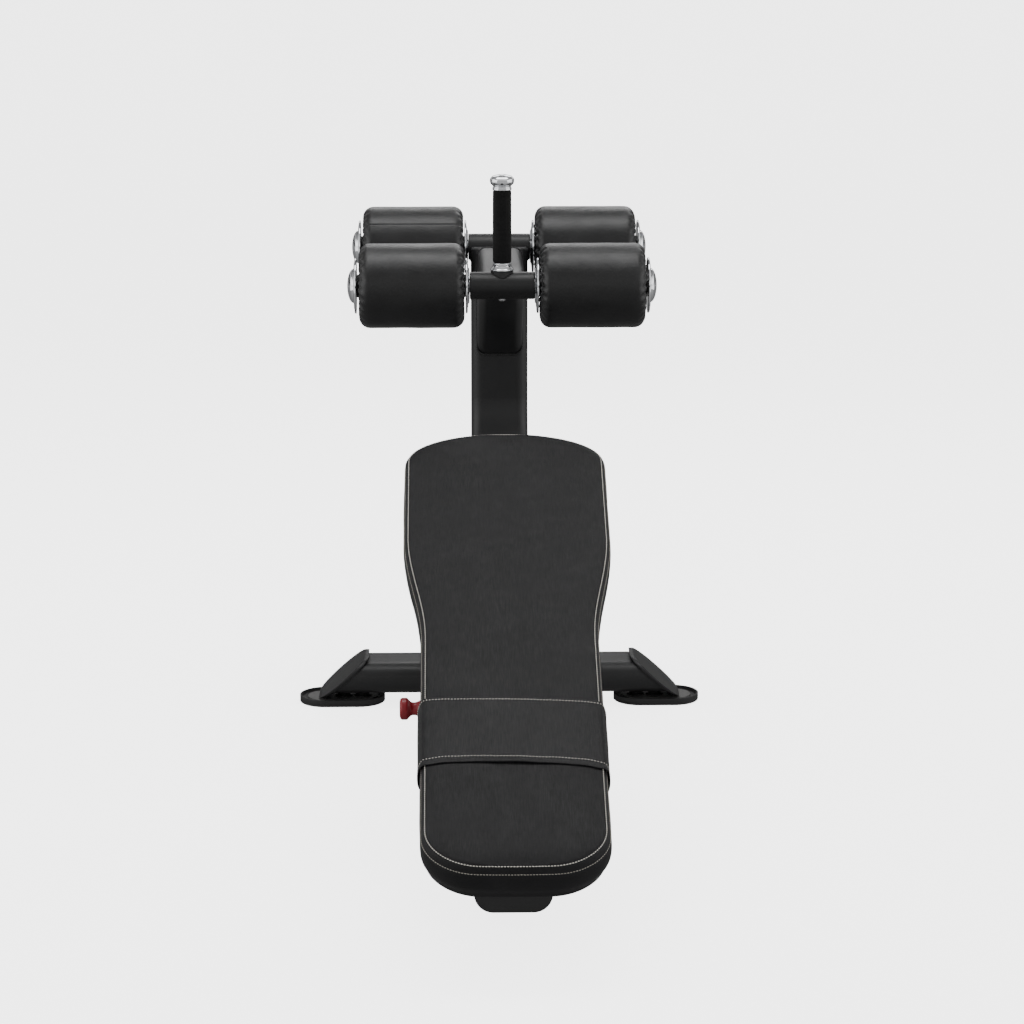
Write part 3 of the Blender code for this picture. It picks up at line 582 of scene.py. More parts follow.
def plywood_look():
    look = Look("plywood", (0.42, 0.29, 0.16), 0.62, 0.0)
    grain = look.noise(45, 6, 0.65, place=look.stretched((9.0, 0.8, 9.0), -SLOPE), distortion=0.8)
    plies = look.bands(110, "Z", 0.6, place=look.stretched((1.0, 1.0, 1.0), -SLOPE))
    tint = look.blend(look.level(grain, 0, 1, 0.35, 0.65), (0.30, 0.19, 0.10), (0.50, 0.36, 0.21))
    tint = look.blend(look.level(plies, 0, 0.35, 0.4, 0.8), tint, (0.17, 0.10, 0.05))
    look.feed(Base_Color=tint, Roughness=look.level(grain, 0.55, 0.75))
    return look.bump((grain, 0.35, 0.0005))


def thread_look(name, dark, light):
    look = Look(name, light, 0.6, 0.0, Sheen_Weight=0.2)
    twist = look.bands(700, "DIAGONAL", 1.5)
    look.feed(Base_Color=look.blend(twist, dark, light), Roughness=look.level(look.noise(900), 0.5, 0.75))
    return look.bump((twist, 0.5, 0.0002))


def floor_look():
    look = Look("floor", (0.86, 0.86, 0.86), 0.9, 0.0, Emission_Color=(1, 1, 1, 1), Emission_Strength=3.4)
    soft, fine = look.noise(1.2, 4), look.noise(240, 4)
    look.feed(Base_Color=look.blend(look.level(soft, 0, 1), (0.84, 0.84, 0.845), (0.88, 0.88, 0.88)))
    look.feed(Roughness=look.level(fine, 0.85, 0.95))
    return look.bump((fine, 0.05, 0.0003))


PAD_DARK, PAD_LIGHT = (0.0050, 0.0049, 0.0053), (0.0165, 0.0162, 0.0170)
LOOKS = [
    paint_look(),
    metal_look("chrome", (0.83, 0.84, 0.86), 0.045, 0.12),
    metal_look("steel", (0.56, 0.56, 0.57), 0.24, 0.42, 0.12),
    metal_look("spring_steel", (0.40, 0.40, 0.41), 0.28, 0.45, 0.1),
    metal_look("bronze", (0.50, 0.33, 0.16), 0.3, 0.5, 0.05),
    vinyl_look("upholstery", PAD_DARK, PAD_LIGHT, 0.50, 1500, 0.42, -SLOPE),
    vinyl_look("sleeve_vinyl", PAD_DARK, PAD_LIGHT, 0.44, 1300, 0.50, -SLOPE),
    vinyl_look(
        "roller_upholstery", (0.0050, 0.0050, 0.0053), (0.0105, 0.0105, 0.0110), 0.34, 560, 0.02, 0.0,
        gloss=0.45, relief=0.55),
    # foot_plate is powder coat painted a lighter grey than the rest: painted reflection and light on the tray
    # plates
    plain_look("foot_plate", (0.060, 0.059, 0.058), (0.095, 0.094, 0.092), 0.6, 800, 0.2),
    plain_look("rubber", (0.006, 0.006, 0.006), (0.012, 0.012, 0.0125), 0.62, 700, 0.25),
    plain_look("plastic_cap", (0.007, 0.007, 0.0073), (0.012, 0.012, 0.0125), 0.42, 900, 0.18),
    plain_look("core_plastic", (0.022, 0.022, 0.023), (0.034, 0.034, 0.035), 0.5, 800, 0.15),
    plain_look(
        "red_plastic", (0.20, 0.002, 0.009), (0.30, 0.005, 0.014), 0.36, 900, 0.10, Coat_Weight=0.12),
    foam_look(),
    plywood_look(),
    thread_look("thread", (0.62, 0.59, 0.53), (0.88, 0.85, 0.78)),
    # a darker copy of the same thread, painted shade for the stitch row on the pad's side wall
    thread_look("grey_thread", (0.34, 0.32, 0.28), (0.56, 0.53, 0.47)),
    floor_look(),
]
LOOKS = {look.name: look.material for look in LOOKS}
SLOTS = {key: key for key in LOOKS if key not in ("thread", "grey_thread", "foot_plate", "floor")}
SLOTS.update(thread="upholstery", grey_thread="upholstery", foot_plate="powder_coat")


# ---------------------------------------------------------------- camera, light and floor


def make_camera():
    camera = add_object("camera", bpy.data.cameras.new("camera"))
    camera.data.lens = LENS
    camera.data.sensor_width = 36.0
    camera.data.clip_start, camera.data.clip_end = 0.1, 60.0
    camera.location = CAMERA_PLACE
    flat = math.cos(CAMERA_DOWN)
    ahead = Vector((math.sin(CAMERA_PAN) * flat, math.cos(CAMERA_PAN) * flat, -math.sin(CAMERA_DOWN)))
    camera.rotation_mode = "QUATERNION"
    camera.rotation_quaternion = ahead.to_track_quat("-Z", "Y")
    SCENE.camera = camera


def make_sky():
    """Grey bands from floor to ceiling, brighter in front of the bench, for the chrome to reflect."""
    world = bpy.data.worlds.new("studio")
    world.use_nodes = True
    tree = world.node_tree
    split = tree.nodes.new("ShaderNodeSeparateXYZ")
    tree.links.new(tree.nodes.new("ShaderNodeTexCoord").outputs["Generated"], split.inputs[0])
    height = tree.nodes.new("ShaderNodeMapRange")
    height.inputs["From Min"].default_value = -1.0
    tree.links.new(split.outputs["Z"], height.inputs["Value"])
    ramp = tree.nodes.new("ShaderNodeValToRGB")
    tree.links.new(height.outputs["Result"], ramp.inputs["Fac"])
    while len(ramp.color_ramp.elements) < len(SKY):
        ramp.color_ramp.elements.new(1.0)
    for stop, (place, grey) in zip(ramp.color_ramp.elements, SKY):
        stop.position = place
        stop.color = (grey, grey, grey, 1)
    front = tree.nodes.new("ShaderNodeMapRange")
    for socket, value in zip(("From Min", "From Max", "To Min", "To Max"), SKY_FRONT_TO_BACK):
        front.inputs[socket].default_value = value
    tree.links.new(split.outputs["Y"], front.inputs["Value"])
    dim = tree.nodes.new("ShaderNodeVectorMath")
    dim.operation = "SCALE"
    tree.links.new(ramp.outputs["Color"], dim.inputs[0])
    tree.links.new(front.outputs["Result"], dim.inputs["Scale"])
    tree.links.new(dim.outputs["Vector"], tree.nodes["Background"].inputs["Color"])
    tree.nodes["Background"].inputs["Strength"].default_value = SKY_STRENGTH
    SCENE.world = world


def make_lamps():
    for name, place, target, width, height, power in LAMPS:
        light = bpy.data.lights.new(name, "AREA")
        light.shape = "RECTANGLE"
        light.size, light.size_y, light.energy = width, height, power
        lamp = add_object(name, light)
        lamp.location = place
        lamp.rotation_mode = "QUATERNION"
        lamp.rotation_quaternion = (Vector(target) - Vector(place)).to_track_quat("-Z", "Y")


def make_floor():
    """A floor that curves up into a white wall and ceiling all round. Only the camera sees it."""
    sides = 48
    middle = ROOM_CURVE - FLOOR_DROP
    wall = [(r, -FLOOR_DROP) for r in (0.01, 1.0, 3.0, 6.0)]
    for t in np.linspace(0, math.pi, 25):
        wall.append((ROOM_RADIUS + ROOM_CURVE * math.sin(t), middle - ROOM_CURVE * math.cos(t)))
    wall += [(ROOM_RADIUS / 2, 2 * ROOM_CURVE), (0.01, 2 * ROOM_CURVE)]
    verts, faces = skin([[(a, b, z) for a, b in circle(r, sides)] for r, z in wall], caps=False)
    mesh = mesh_of("floor", verts, faces + [tuple(range(sides))])
    mesh.shade_smooth()
    mesh.materials.append(LOOKS["floor"])
    floor = add_object("floor", mesh)
    floor.visible_diffuse = floor.visible_glossy = floor.visible_shadow = False


# ---------------------------------------------------------------- floor frame

CROSS_LOW, CROSS_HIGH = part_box("rear_cross_tube")
CROSS_Y = (CROSS_LOW.y + CROSS_HIGH.y) / 2
TUBE_Z = (CROSS_LOW.z + CROSS_HIGH.z) / 2
TUBE_WIDE = CROSS_HIGH.y - CROSS_LOW.y
TUBE_TALL = CROSS_HIGH.z - CROSS_LOW.z
END_SLOPE = 1.12
CROSS_TOP_HALF = CROSS_HIGH.x - TUBE_TALL * END_SLOPE
COLUMN_LOW, COLUMN_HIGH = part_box("column")
COLUMN_WIDE = COLUMN_HIGH.x - COLUMN_LOW.x
COLUMN_DEEP = COLUMN_HIGH.y - COLUMN_LOW.y
COLUMN_Y = (COLUMN_LOW.y + COLUMN_HIGH.y) / 2
COLUMN_CORNER = 0.020
PLATE_Z, PLATE_THICK = 0.0077, 0.0032
BAR_RADIUS = 0.024
AXLE_BORE = 0.0128
FAR_BAR = Vector((0, *((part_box("far_bar")[0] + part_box("far_bar")[1]) / 2)[1:]))
NEAR_BAR = Vector((0, *((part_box("near_bar")[0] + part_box("near_bar")[1]) / 2)[1:]))


def slanted(points, shift, side, centre=TUBE_Z):
    """A ring on the cross tube's cut end, moved outwards by shift."""
    ring = []
    for a, b in points:
        z = centre + b
        x = CROSS_TOP_HALF + shift + (TUBE_Z + TUBE_TALL / 2 - z) * END_SLOPE
        ring.append((side * x, CROSS_Y + a, z))
    return ring


def tube_top(dy):
    """Height of the cross tube's upper side at a distance from its middle line."""
    radius = TUBE_TALL / 2
    past = max(0.0, abs(dy) - (TUBE_WIDE / 2 - radius))
    return TUBE_Z + math.sqrt(max(0.0, radius * radius - past * past))


def make_floor_frame():
    outline = oval(TUBE_WIDE, TUBE_TALL, 32)
    rings = [slanted(outline, 0, -1)]
    rings += [[(x, CROSS_Y + a, TUBE_Z + b) for a, b in outline] for x in np.linspace(-0.24, 0.24, 9)]
    rings.append(slanted(outline, 0, 1))
    add_piece("cross_tube", skin(rings), "powder_coat", "frame", "rear_cross_tube")

    low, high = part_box("main_beam")
    stations = np.linspace(low.y, high.y + 0.002, 14)
    rings = [[(a, y, TUBE_Z + b) for a, b in outline] for y in stations]
    add_piece("beam_tube", skin(rings), "powder_coat", "frame", "main_beam")

    _, cap_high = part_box("main_beam_front_cap")
    rings = []
    for back, grow in ((0.012, -0.0066), (0.0, -0.0066), (0.0, 0.0), (-0.0022, 0.0), (-0.0032, -0.0012),
                       (-0.0038, -0.0036), (-0.0042, -0.010), (-0.0043, -0.022)):
        ring = oval(TUBE_WIDE + 2 * grow, TUBE_TALL + 2 * grow, 32)
        rings.append([(a, cap_high.y + back, TUBE_Z + b) for a, b in ring])
    add_piece("beam_front_cap", skin(rings), "plastic_cap", "frame", "main_beam_front_cap", sharp=50)

    low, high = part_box("front_foot")
    width, depth = high.x - low.x, high.y - low.y
    middle = (low.y + high.y) / 2
    rings = []
    for z, grow in soften([(0, -0.030), (0, -0.001), (0.0055, 0.0), (0.0060, -0.0016), (0.0072, -0.0016),
                           (0.0077, 0.0), (0.0130, 0.0), (0.0135, -0.0016), (0.0147, -0.0016), (0.0152, 0.0),
                           (high.z, -0.0015), (high.z, -0.030)], 0.0005, 2):
        ring = rounded_rectangle(width + 2 * grow, depth + 2 * grow, max(0.004, 0.012 + grow))
        rings.append([(a, middle + b, z) for a, b in ring])
    add_piece("front_rubber_foot", skin(rings), "rubber", "frame", "front_foot")

    cut_ring = [(x, CROSS_Y - TUBE_WIDE / 2 + 0.0006, TUBE_Z + b) for x, b in oval(TUBE_WIDE, TUBE_TALL, 32)]
    add_weld("weld_beam_to_cross", [(a, y + 0.0006, z) for a, y, z in cut_ring], "frame", closed=True)


def make_rear_foot(side, label):
    rings = []
    wide, tall = TUBE_WIDE + 0.010, TUBE_TALL + 0.0190
    centre = TUBE_Z - 0.0010
    for shift, grow in soften([(0.0006, -0.030), (0.0006, 0.0), (0.0090, 0.0), (0.0090, -0.030)], 0.0022, 4):
        ring = oval(wide + 2 * grow, tall + 2 * grow * tall / wide, 32)
        rings.append(slanted(ring, shift, side, centre))
    add_piece(f"end_plate_{label}", skin(rings), "powder_coat", "frame", f"rear_end_plate_{label}")
    bead = slanted(oval(TUBE_WIDE + 0.001, TUBE_TALL + 0.001, 32), -0.0006, side)
    add_weld(f"weld_end_plate_{label}", bead, "frame", closed=True, radius=0.0022)

    low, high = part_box(f"foot_tray_{label}")
    wide, deep, tall = high.x - low.x, high.y - low.y, high.z
    mid_x = (low.x + high.x) / 2
    shape = [(0, -0.040), (0, -0.0015), (0.0015, 0), (0.0040, 0), (0.0044, -0.0007), (0.0050, -0.0007),
             (0.0054, 0), (tall - 0.0004, 0.0), (tall, -0.0008), (tall, -0.0036), (0.0086, -0.0052),
             (0.0076, -0.0064), (0.0076, -0.0400)]
    rings = []
    for z, grow in soften(shape, 0.0008, 3):
        rings.append([(mid_x + a, CROSS_Y + b, z) for a, b in oval(wide + 2 * grow, deep + 2 * grow, 36)])
    add_piece(f"rubber_tray_{label}", skin(rings), "rubber", "frame", f"foot_tray_{label}")

    low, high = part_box(f"foot_plate_{label}")
    inset_x, inset_y = high.x - low.x, high.y - low.y
    screws = (-0.030, 0.030)
    holes = [[(x + a, b) for a, b in circle(0.0045, 20)] for x in screws]

    def on_tray(a, b, c):
        return Vector((mid_x + a, CROSS_Y + b, PLATE_Z + c))

    outline = oval(inset_x - 0.002, inset_y - 0.002, 36)
    plate = slab([outline] + holes, PLATE_THICK, on_tray)
    # the tray plate's lighter grey foot_plate colour is painted reflection and light over its powder coat
    add_piece(f"tray_plate_{label}", plate, "foot_plate", "frame", f"foot_plate_{label}", bevel=0.0008)
    near = min((low.x, high.x), key=abs)
    for k, reach in enumerate((0.028, 0.064)):
        place = (near + side * reach, CROSS_Y, 0.0)
        tower = [(0.0108, 0.0005), (0.0108, 0.0165), (0.0130, 0.0165), (0.0140, 0.0120),
                 (0.0185, 0.0120), (0.0195, 0.0155), (0.0262, 0.0155), (0.0262, 0.0005)]
        add_turned(f"foot_spacer_{label}_{k}", tower, place, Z, "powder_coat", "frame", (), 0.0008, 3, 36)
    heads = [frame_at((mid_x + x, CROSS_Y, PLATE_Z + PLATE_THICK), X, Z) for x in screws]
    add_piece(f"tray_screws_{label}", scatter(cap_screw(), heads), "powder_coat", "frame")


def make_column():
    outline = rounded_rectangle(COLUMN_WIDE, COLUMN_DEEP, COLUMN_CORNER, 9)

    def foot(y):
        dy = y - CROSS_Y
        return max(tube_top(dy), TUBE_Z + 0.004) - 0.001

    rings = [[(a, COLUMN_Y + b, foot(COLUMN_Y + b)) for a, b in outline]]
    for z in np.linspace(0.10, COLUMN_HIGH.z - 0.004, 14):
        rings.append([(a, COLUMN_Y + b, z) for a, b in outline])
    for drop, grow in ((0.0026, -0.0003), (0.0012, -0.0012), (0.0004, -0.0026), (0.0, -0.0045)):
        ring = rounded_rectangle(COLUMN_WIDE + 2 * grow, COLUMN_DEEP + 2 * grow, COLUMN_CORNER + grow, 9)
        rings.append([(a, COLUMN_Y + b, COLUMN_HIGH.z - drop) for a, b in ring])
    add_piece("column_tube", skin(rings), "powder_coat", "frame", "column")
    base = [(a * 1.012, COLUMN_Y + b * 1.012, foot(COLUMN_Y + b) + 0.002) for a, b in outline]
    add_weld("weld_column_base", base, "frame", closed=True, radius=0.0030)


def make_arm():
    low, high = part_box("roller_arm")
    back = COLUMN_LOW.y + 0.003
    front = NEAR_BAR.y + 0.013
    rings = []
    for t in np.linspace(0, 1, 26):
        y = front + (back - front) * t
        s = max(0.0, (y - low.y) / (high.y - low.y))
        top = 0.863 + 0.012 * math.sin(s * math.pi / 2)
        bottom = 0.818 - 0.138 * s**1.5
        if t == 0:
            top, bottom = top - 0.004, bottom + 0.006
        ring = rounded_rectangle(high.x - low.x, top - bottom, 0.016, 8)
        rings.append([(a, y, (top + bottom) / 2 + b) for a, b in ring])
    add_piece("arm_shell", skin(rings), "powder_coat", "frame", "roller_arm")
    last = [(a * 1.01, COLUMN_LOW.y - 0.0004, z) for a, _, z in rings[-1]]
    add_weld("weld_arm_to_column", last, "frame", closed=True, radius=0.0020)
    reach = high.x - 0.001
    for k, up in enumerate((0.0175, -0.0215)):
        y = NEAR_BAR.y + math.sqrt(BAR_RADIUS**2 - up**2) + 0.0004
        path = [(x, y, NEAR_BAR.z + up) for x in np.linspace(-reach + 0.012, reach - 0.012, 12)]
        add_weld(f"weld_arm_to_bar_{k}", path, "frame")
    for side, label in SIDES:
        path = [(side * reach, y, z) for y, z in arc(NEAR_BAR.yz, BAR_RADIUS, -62, 46, 15)]
        add_weld(f"weld_arm_side_{label}", path, "frame", radius=0.0022)
        path = [(side * COLUMN_WIDE / 2, y, z) for y, z in arc(FAR_BAR.yz, BAR_RADIUS, 180, 360, 23)]
        add_weld(f"weld_far_bar_{label}", path, "frame", radius=0.0024)


def make_bars():
    for name, place in (("far", FAR_BAR), ("near", NEAR_BAR)):
        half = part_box(f"{name}_bar")[1].x
        profile = [(-half, AXLE_BORE), (-half, BAR_RADIUS), (half, BAR_RADIUS), (half, AXLE_BORE)]
        add_turned(f"{name}_bar_tube", profile, place, X, "powder_coat", "frame", f"{name}_bar",
                   0.0016, 4, 96, loop=True)


def make_support():
    low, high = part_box("seat_support")
    base_top, fillet = 0.475, 0.130
    back = COLUMN_LOW.y + 0.0004

    def section(y, turned=0.0, grow=0.0):
        """A section through y, with its top corners square to the surface as it turns up into the column."""
        tall = base_top - low.z + 2 * grow
        ring = []
        for a, b in rounded_rectangle(high.x - low.x + 2 * grow, tall, COLUMN_CORNER + grow, 9):
            depth = tall / 2 - b
            top_y = y + math.sin(turned) * min(depth, COLUMN_CORNER)
            rise = fillet * (1 - math.cos(turned)) - math.cos(turned) * min(depth, COLUMN_CORNER)
            top_z = base_top + grow + rise
            past = max(0.0, depth - COLUMN_CORNER) / (tall - COLUMN_CORNER)
            ring.append((a, top_y, top_z + (low.z - grow - top_z) * past))
        return ring

    rings = []
    for ahead, grow in ((0.0, -0.0050), (0.0006, -0.0026), (0.0022, -0.0008), (0.0042, -0.0001)):
        rings.append(section(low.y + ahead, 0.0, grow))
    rings += [section(y) for y in np.linspace(low.y + 0.006, back - fillet, 12)]
    rings += [section(back - fillet * (1 - math.sin(a)), a) for a in np.linspace(0.06, math.pi / 2, 26)]
    add_piece("seat_support_shell", skin(rings), "powder_coat", "frame", "seat_support")
    under = [(x, COLUMN_LOW.y - 0.0005, low.z + 0.0006) for x in np.linspace(-0.034, 0.034, 10)]
    add_weld("weld_support_under", under, "frame", radius=0.0028)


# ---------------------------------------------------------------- hinge and selector

HINGE = (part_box("hinge_pin")[0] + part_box("hinge_pin")[1]) / 2
HINGE.x = 0
PIN = (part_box("pull_pin")[0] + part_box("pull_pin")[1]) / 2
PIN.x = 0
PIN_HOLE = 0.0070


def upright(x):
    """Places a plate's (y, z) outline at x, with its thickness along +X."""
    return lambda a, b, c: Vector((x + c, a, b))


def make_hinge():
    support_low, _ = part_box("seat_support")
    for _, label in SIDES:
        low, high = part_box(f"hinge_lug_{label}")
        rounded = arc((HINGE.y, HINGE.z), 0.030, 95, 280, 40)
        outline = [(high.y, high.z)] + rounded + [(high.y, low.z + 0.002)]
        hole = [(HINGE.y + a, HINGE.z + b) for a, b in circle(0.0129, 40)]
        plate = slab([outline, hole], high.x - low.x, upright(low.x))
        add_piece(f"hinge_plate_{label}", plate, "powder_coat", "frame", f"hinge_lug_{label}", bevel=0.0014)
        for k, x in enumerate((low.x, high.x)):
            line = [(x, support_low.y + 0.0002, z) for z in np.linspace(support_low.z + 0.010, 0.466, 20)]
            add_weld(f"weld_lug_{label}_{k}", line, "frame", radius=0.0024)

    low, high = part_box("hinge_pin")
    bolt = shifted(low.x, [(0, 0.0005), (0, 0.0142), (0.0022, 0.0178), (0.0086, 0.0180), (0.0088, 0.0125)])
    bolt += [(high.x - 0.0016, 0.0125), (high.x, 0.0110), (high.x, 0.0005)]
    add_turned("hinge_bolt", bolt, HINGE, X, "steel", "frame", "hinge_pin", 0.0007, 3, 64)

    low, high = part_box("hinge_nut")
    rings = []
    flats = 0.0175
    turns = [2 * math.pi * k / 48 for k in range(48)]
    chamfer = ((0, 0.954), (0, 1.0229), (0.001, 1.125))
    ends = [(low.x + d, corner) for d, corner in chamfer]
    ends += [(high.x - d, corner) for d, corner in chamfer[::-1]]
    for x, corner in ends:
        nut = [(flats * min(hexagon_reach(a), corner), a) for a in turns]
        rings.append([(x, HINGE.y + r * math.cos(a), HINGE.z + r * math.sin(a)) for r, a in nut])
    for x in (high.x, low.x):
        rings.append([(x, HINGE.y + a, HINGE.z + b) for a, b in circle(0.0126, 48)])
    add_piece("hinge_lock_nut", skin(rings, loop=True), "steel", "frame", "hinge_nut", sharp=20)

    low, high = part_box("hinge_barrel")
    barrel = [(low.x, 0.0163), (low.x, 0.0220), (high.x, 0.0220), (high.x, 0.0163)]
    add_turned("hinge_tube", barrel, HINGE, X, "powder_coat", "bench", "hinge_barrel",
               0.0012, 3, 72, loop=True)
    for k, tilt in enumerate((-1, 1)):
        edge = HINGE + OUT * 0.0200 + DOWN * tilt * 0.0105
        line = [edge + X * x for x in np.linspace(low.x + 0.002, high.x - 0.002, 12)]
        add_weld(f"weld_hinge_tube_{k}", line, "bench")
    nipple = [(0.0, 0.0005), (0.0, 0.0042), (0.003, 0.0042), (0.0032, 0.0028), (0.0055, 0.0028),
              (0.0062, 0.0022), (0.0075, 0.0026), (0.0086, 0.0014), (0.0086, 0.0003)]
    add_turned("grease_nipple", nipple, HINGE - OUT * 0.0219, -OUT, "steel", "bench", (), 0.0004, 2, 24)


def make_sector():
    """The plate of stop holes, an arc about the hinge."""
    low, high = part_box("selector_sector")
    radius = (PIN - HINGE).length
    rest = math.degrees(math.atan2(HINGE.z - PIN.z, HINGE.y - PIN.y))
    half, holes = 0.024, 7
    step = joint_end("bench_tilt", "range_deg") / (holes - 1)
    last = rest + step * (holes - 1)

    def start(r):
        return math.degrees(SLOPE - math.asin(0.0217 / r))

    def at(r, angle):
        a = math.radians(angle)
        return (HINGE.y - r * math.cos(a), HINGE.z - r * math.sin(a))

    outer, inner = radius + half, radius - half
    outline = [at(outer, a) for a in np.linspace(start(outer), last, 40)]
    outline += arc(at(radius, last), half, last + 180, last + 360, 20)[1:-1]
    outline += [at(inner, a) for a in np.linspace(last, start(inner), 40)]
    loops = [outline]
    for k in range(holes):
        y, z = at(radius, rest + step * k)
        loops.append([(y + a, z + b) for a, b in circle(PIN_HOLE, 28)])
    sector = slab(loops, high.x - low.x, upright(low.x))
    add_piece("selector_plate", sector, "steel", "bench", "selector_sector", bevel=0.0008)
    for side, label in SIDES:
        radii = np.linspace(inner + 0.002, outer - 0.002, 14)
        line = [Vector((side * high.x, *at(r, start(r)))) - OUT * 0.0006 for r in radii]
        add_weld(f"weld_selector_{label}", line, "bench", radius=0.0022)


def make_selector_stand():
    low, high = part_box("selector_base")
    wide, deep, middle = high.x - low.x, high.y - low.y, (low.y + high.y) / 2

    def on_beam(a, b, c):
        return Vector((a, middle + b, low.z + c))

    foot = slab([rounded_rectangle(wide, deep, 0.006, 4)], high.z - low.z, on_beam)
    add_piece("selector_foot", foot, "powder_coat", "frame", "selector_base", bevel=0.0012)
    edge = [on_beam(a, b, 0.001) for a, b in rounded_rectangle(wide + 0.002, deep + 0.002, 0.006, 4)]
    add_weld("weld_selector_foot", edge, "frame", closed=True)
    for side, label in SIDES:
        low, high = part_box(f"selector_cheek_{label}")
        top = arc((PIN.y, PIN.z), high.z - PIN.z, 180, 0, 28)
        outline = [(low.y, low.z), (PIN.y - 0.030, low.z + 0.05)] + top
        outline += [(PIN.y + 0.030, low.z + 0.05), (high.y, low.z)]
        hole = [(PIN.y + a, PIN.z + b) for a, b in circle(PIN_HOLE, 28)]
        cheek = slab([outline, hole], high.x - low.x, upright(low.x))
        add_piece(f"selector_side_{label}", cheek, "powder_coat", "frame", f"selector_cheek_{label}",
                  bevel=0.0012)
        x = high.x if side > 0 else low.x
        stations = np.linspace(low.y + 0.003, high.y - 0.003, 20)
        line = [(x + side * 0.0004, y, low.z + 0.0004) for y in stations]
        add_weld(f"weld_cheek_{label}", line, "frame", radius=0.0022)


def make_pull_pin():
    """The sprung pin in its tube. Distances run out to the left, along -X."""
    low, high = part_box("pin_barrel")
    barrel = [(-high.x, 0.0117), (-high.x, 0.0150)]
    barrel += shifted(-low.x, [(-0.016, 0.0150), (-0.0155, 0.0142), (-0.0140, 0.0142), (-0.0135, 0.0150),
                               (-0.0016, 0.0150), (0, 0.0134), (0, 0.0071), (-0.0140, 0.0071),
                               (-0.0140, 0.0117)])
    add_turned("plunger_tube", barrel, PIN, -X, "powder_coat", "frame", "pin_barrel",
               0.0006, 2, 56, loop=True)
    ring = [(high.x - 0.0006, PIN.y + a, PIN.z + b) for a, b in circle(0.0158, 40)]
    add_weld("weld_plunger", ring, "frame", closed=True, radius=0.0022)

    low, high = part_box("pull_pin")
    rod = shifted(-high.x, [(0, 0.0004), (0, 0.0046), (0.0022, 0.0064)])
    rod += [(0.030, 0.0065), (0.030, 0.0104), (0.036, 0.0104), (0.036, 0.0065)]
    rod += [(-low.x, 0.0065), (-low.x, 0.0004)]
    add_turned("plunger_pin", rod, PIN, -X, "steel", "pull_pin_assembly", "pull_pin", 0.0005, 2, 40)

    low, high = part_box("pin_spring")
    turns, coil, wire = 7.5, (high.z - low.z) / 2 - 0.0012, 0.0011
    helix = []
    for t in np.linspace(0, 1, 241):
        closed = 0.5 - 0.5 * math.cos(math.pi * min(1.0, max(0.0, (t - 0.08) / 0.84)))
        spread = 0.25 * closed + 0.75 * min(1.0, max(0.0, (t - 0.06) / 0.88))
        a = 2 * math.pi * turns * t
        x = high.x - wire + (low.x - high.x + 2 * wire) * spread
        helix.append((x, PIN.y + coil * math.cos(a), PIN.z + coil * math.sin(a)))
    coils = sweep(helix, wire, 10)
    spring = add_piece("plunger_spring", coils, "spring_steel", "frame", "pin_spring", sharp=180)
    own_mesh(spring)

    low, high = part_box("pull_knob")
    knob = shifted(-high.x, [(0, 0.0006), (0, 0.0132), (0.0012, 0.0139), (0.0048, 0.0136), (0.0095, 0.0112),
                             (0.0140, 0.0102), (0.0185, 0.0108), (0.0222, 0.0140), (0.0243, 0.0168),
                             (0.0262, 0.0178)])
    knob += shifted(-low.x, [(-0.0040, 0.0179), (-0.0012, 0.0160), (-0.0006, 0.0132), (0, 0.0120),
                             (0, 0.0006)])
    add_turned("red_knob", knob, PIN, -X, "red_plastic", "pull_pin_assembly", "pull_knob",
               0.0026, 5, 72, sharp=60)


# ---------------------------------------------------------------- handle


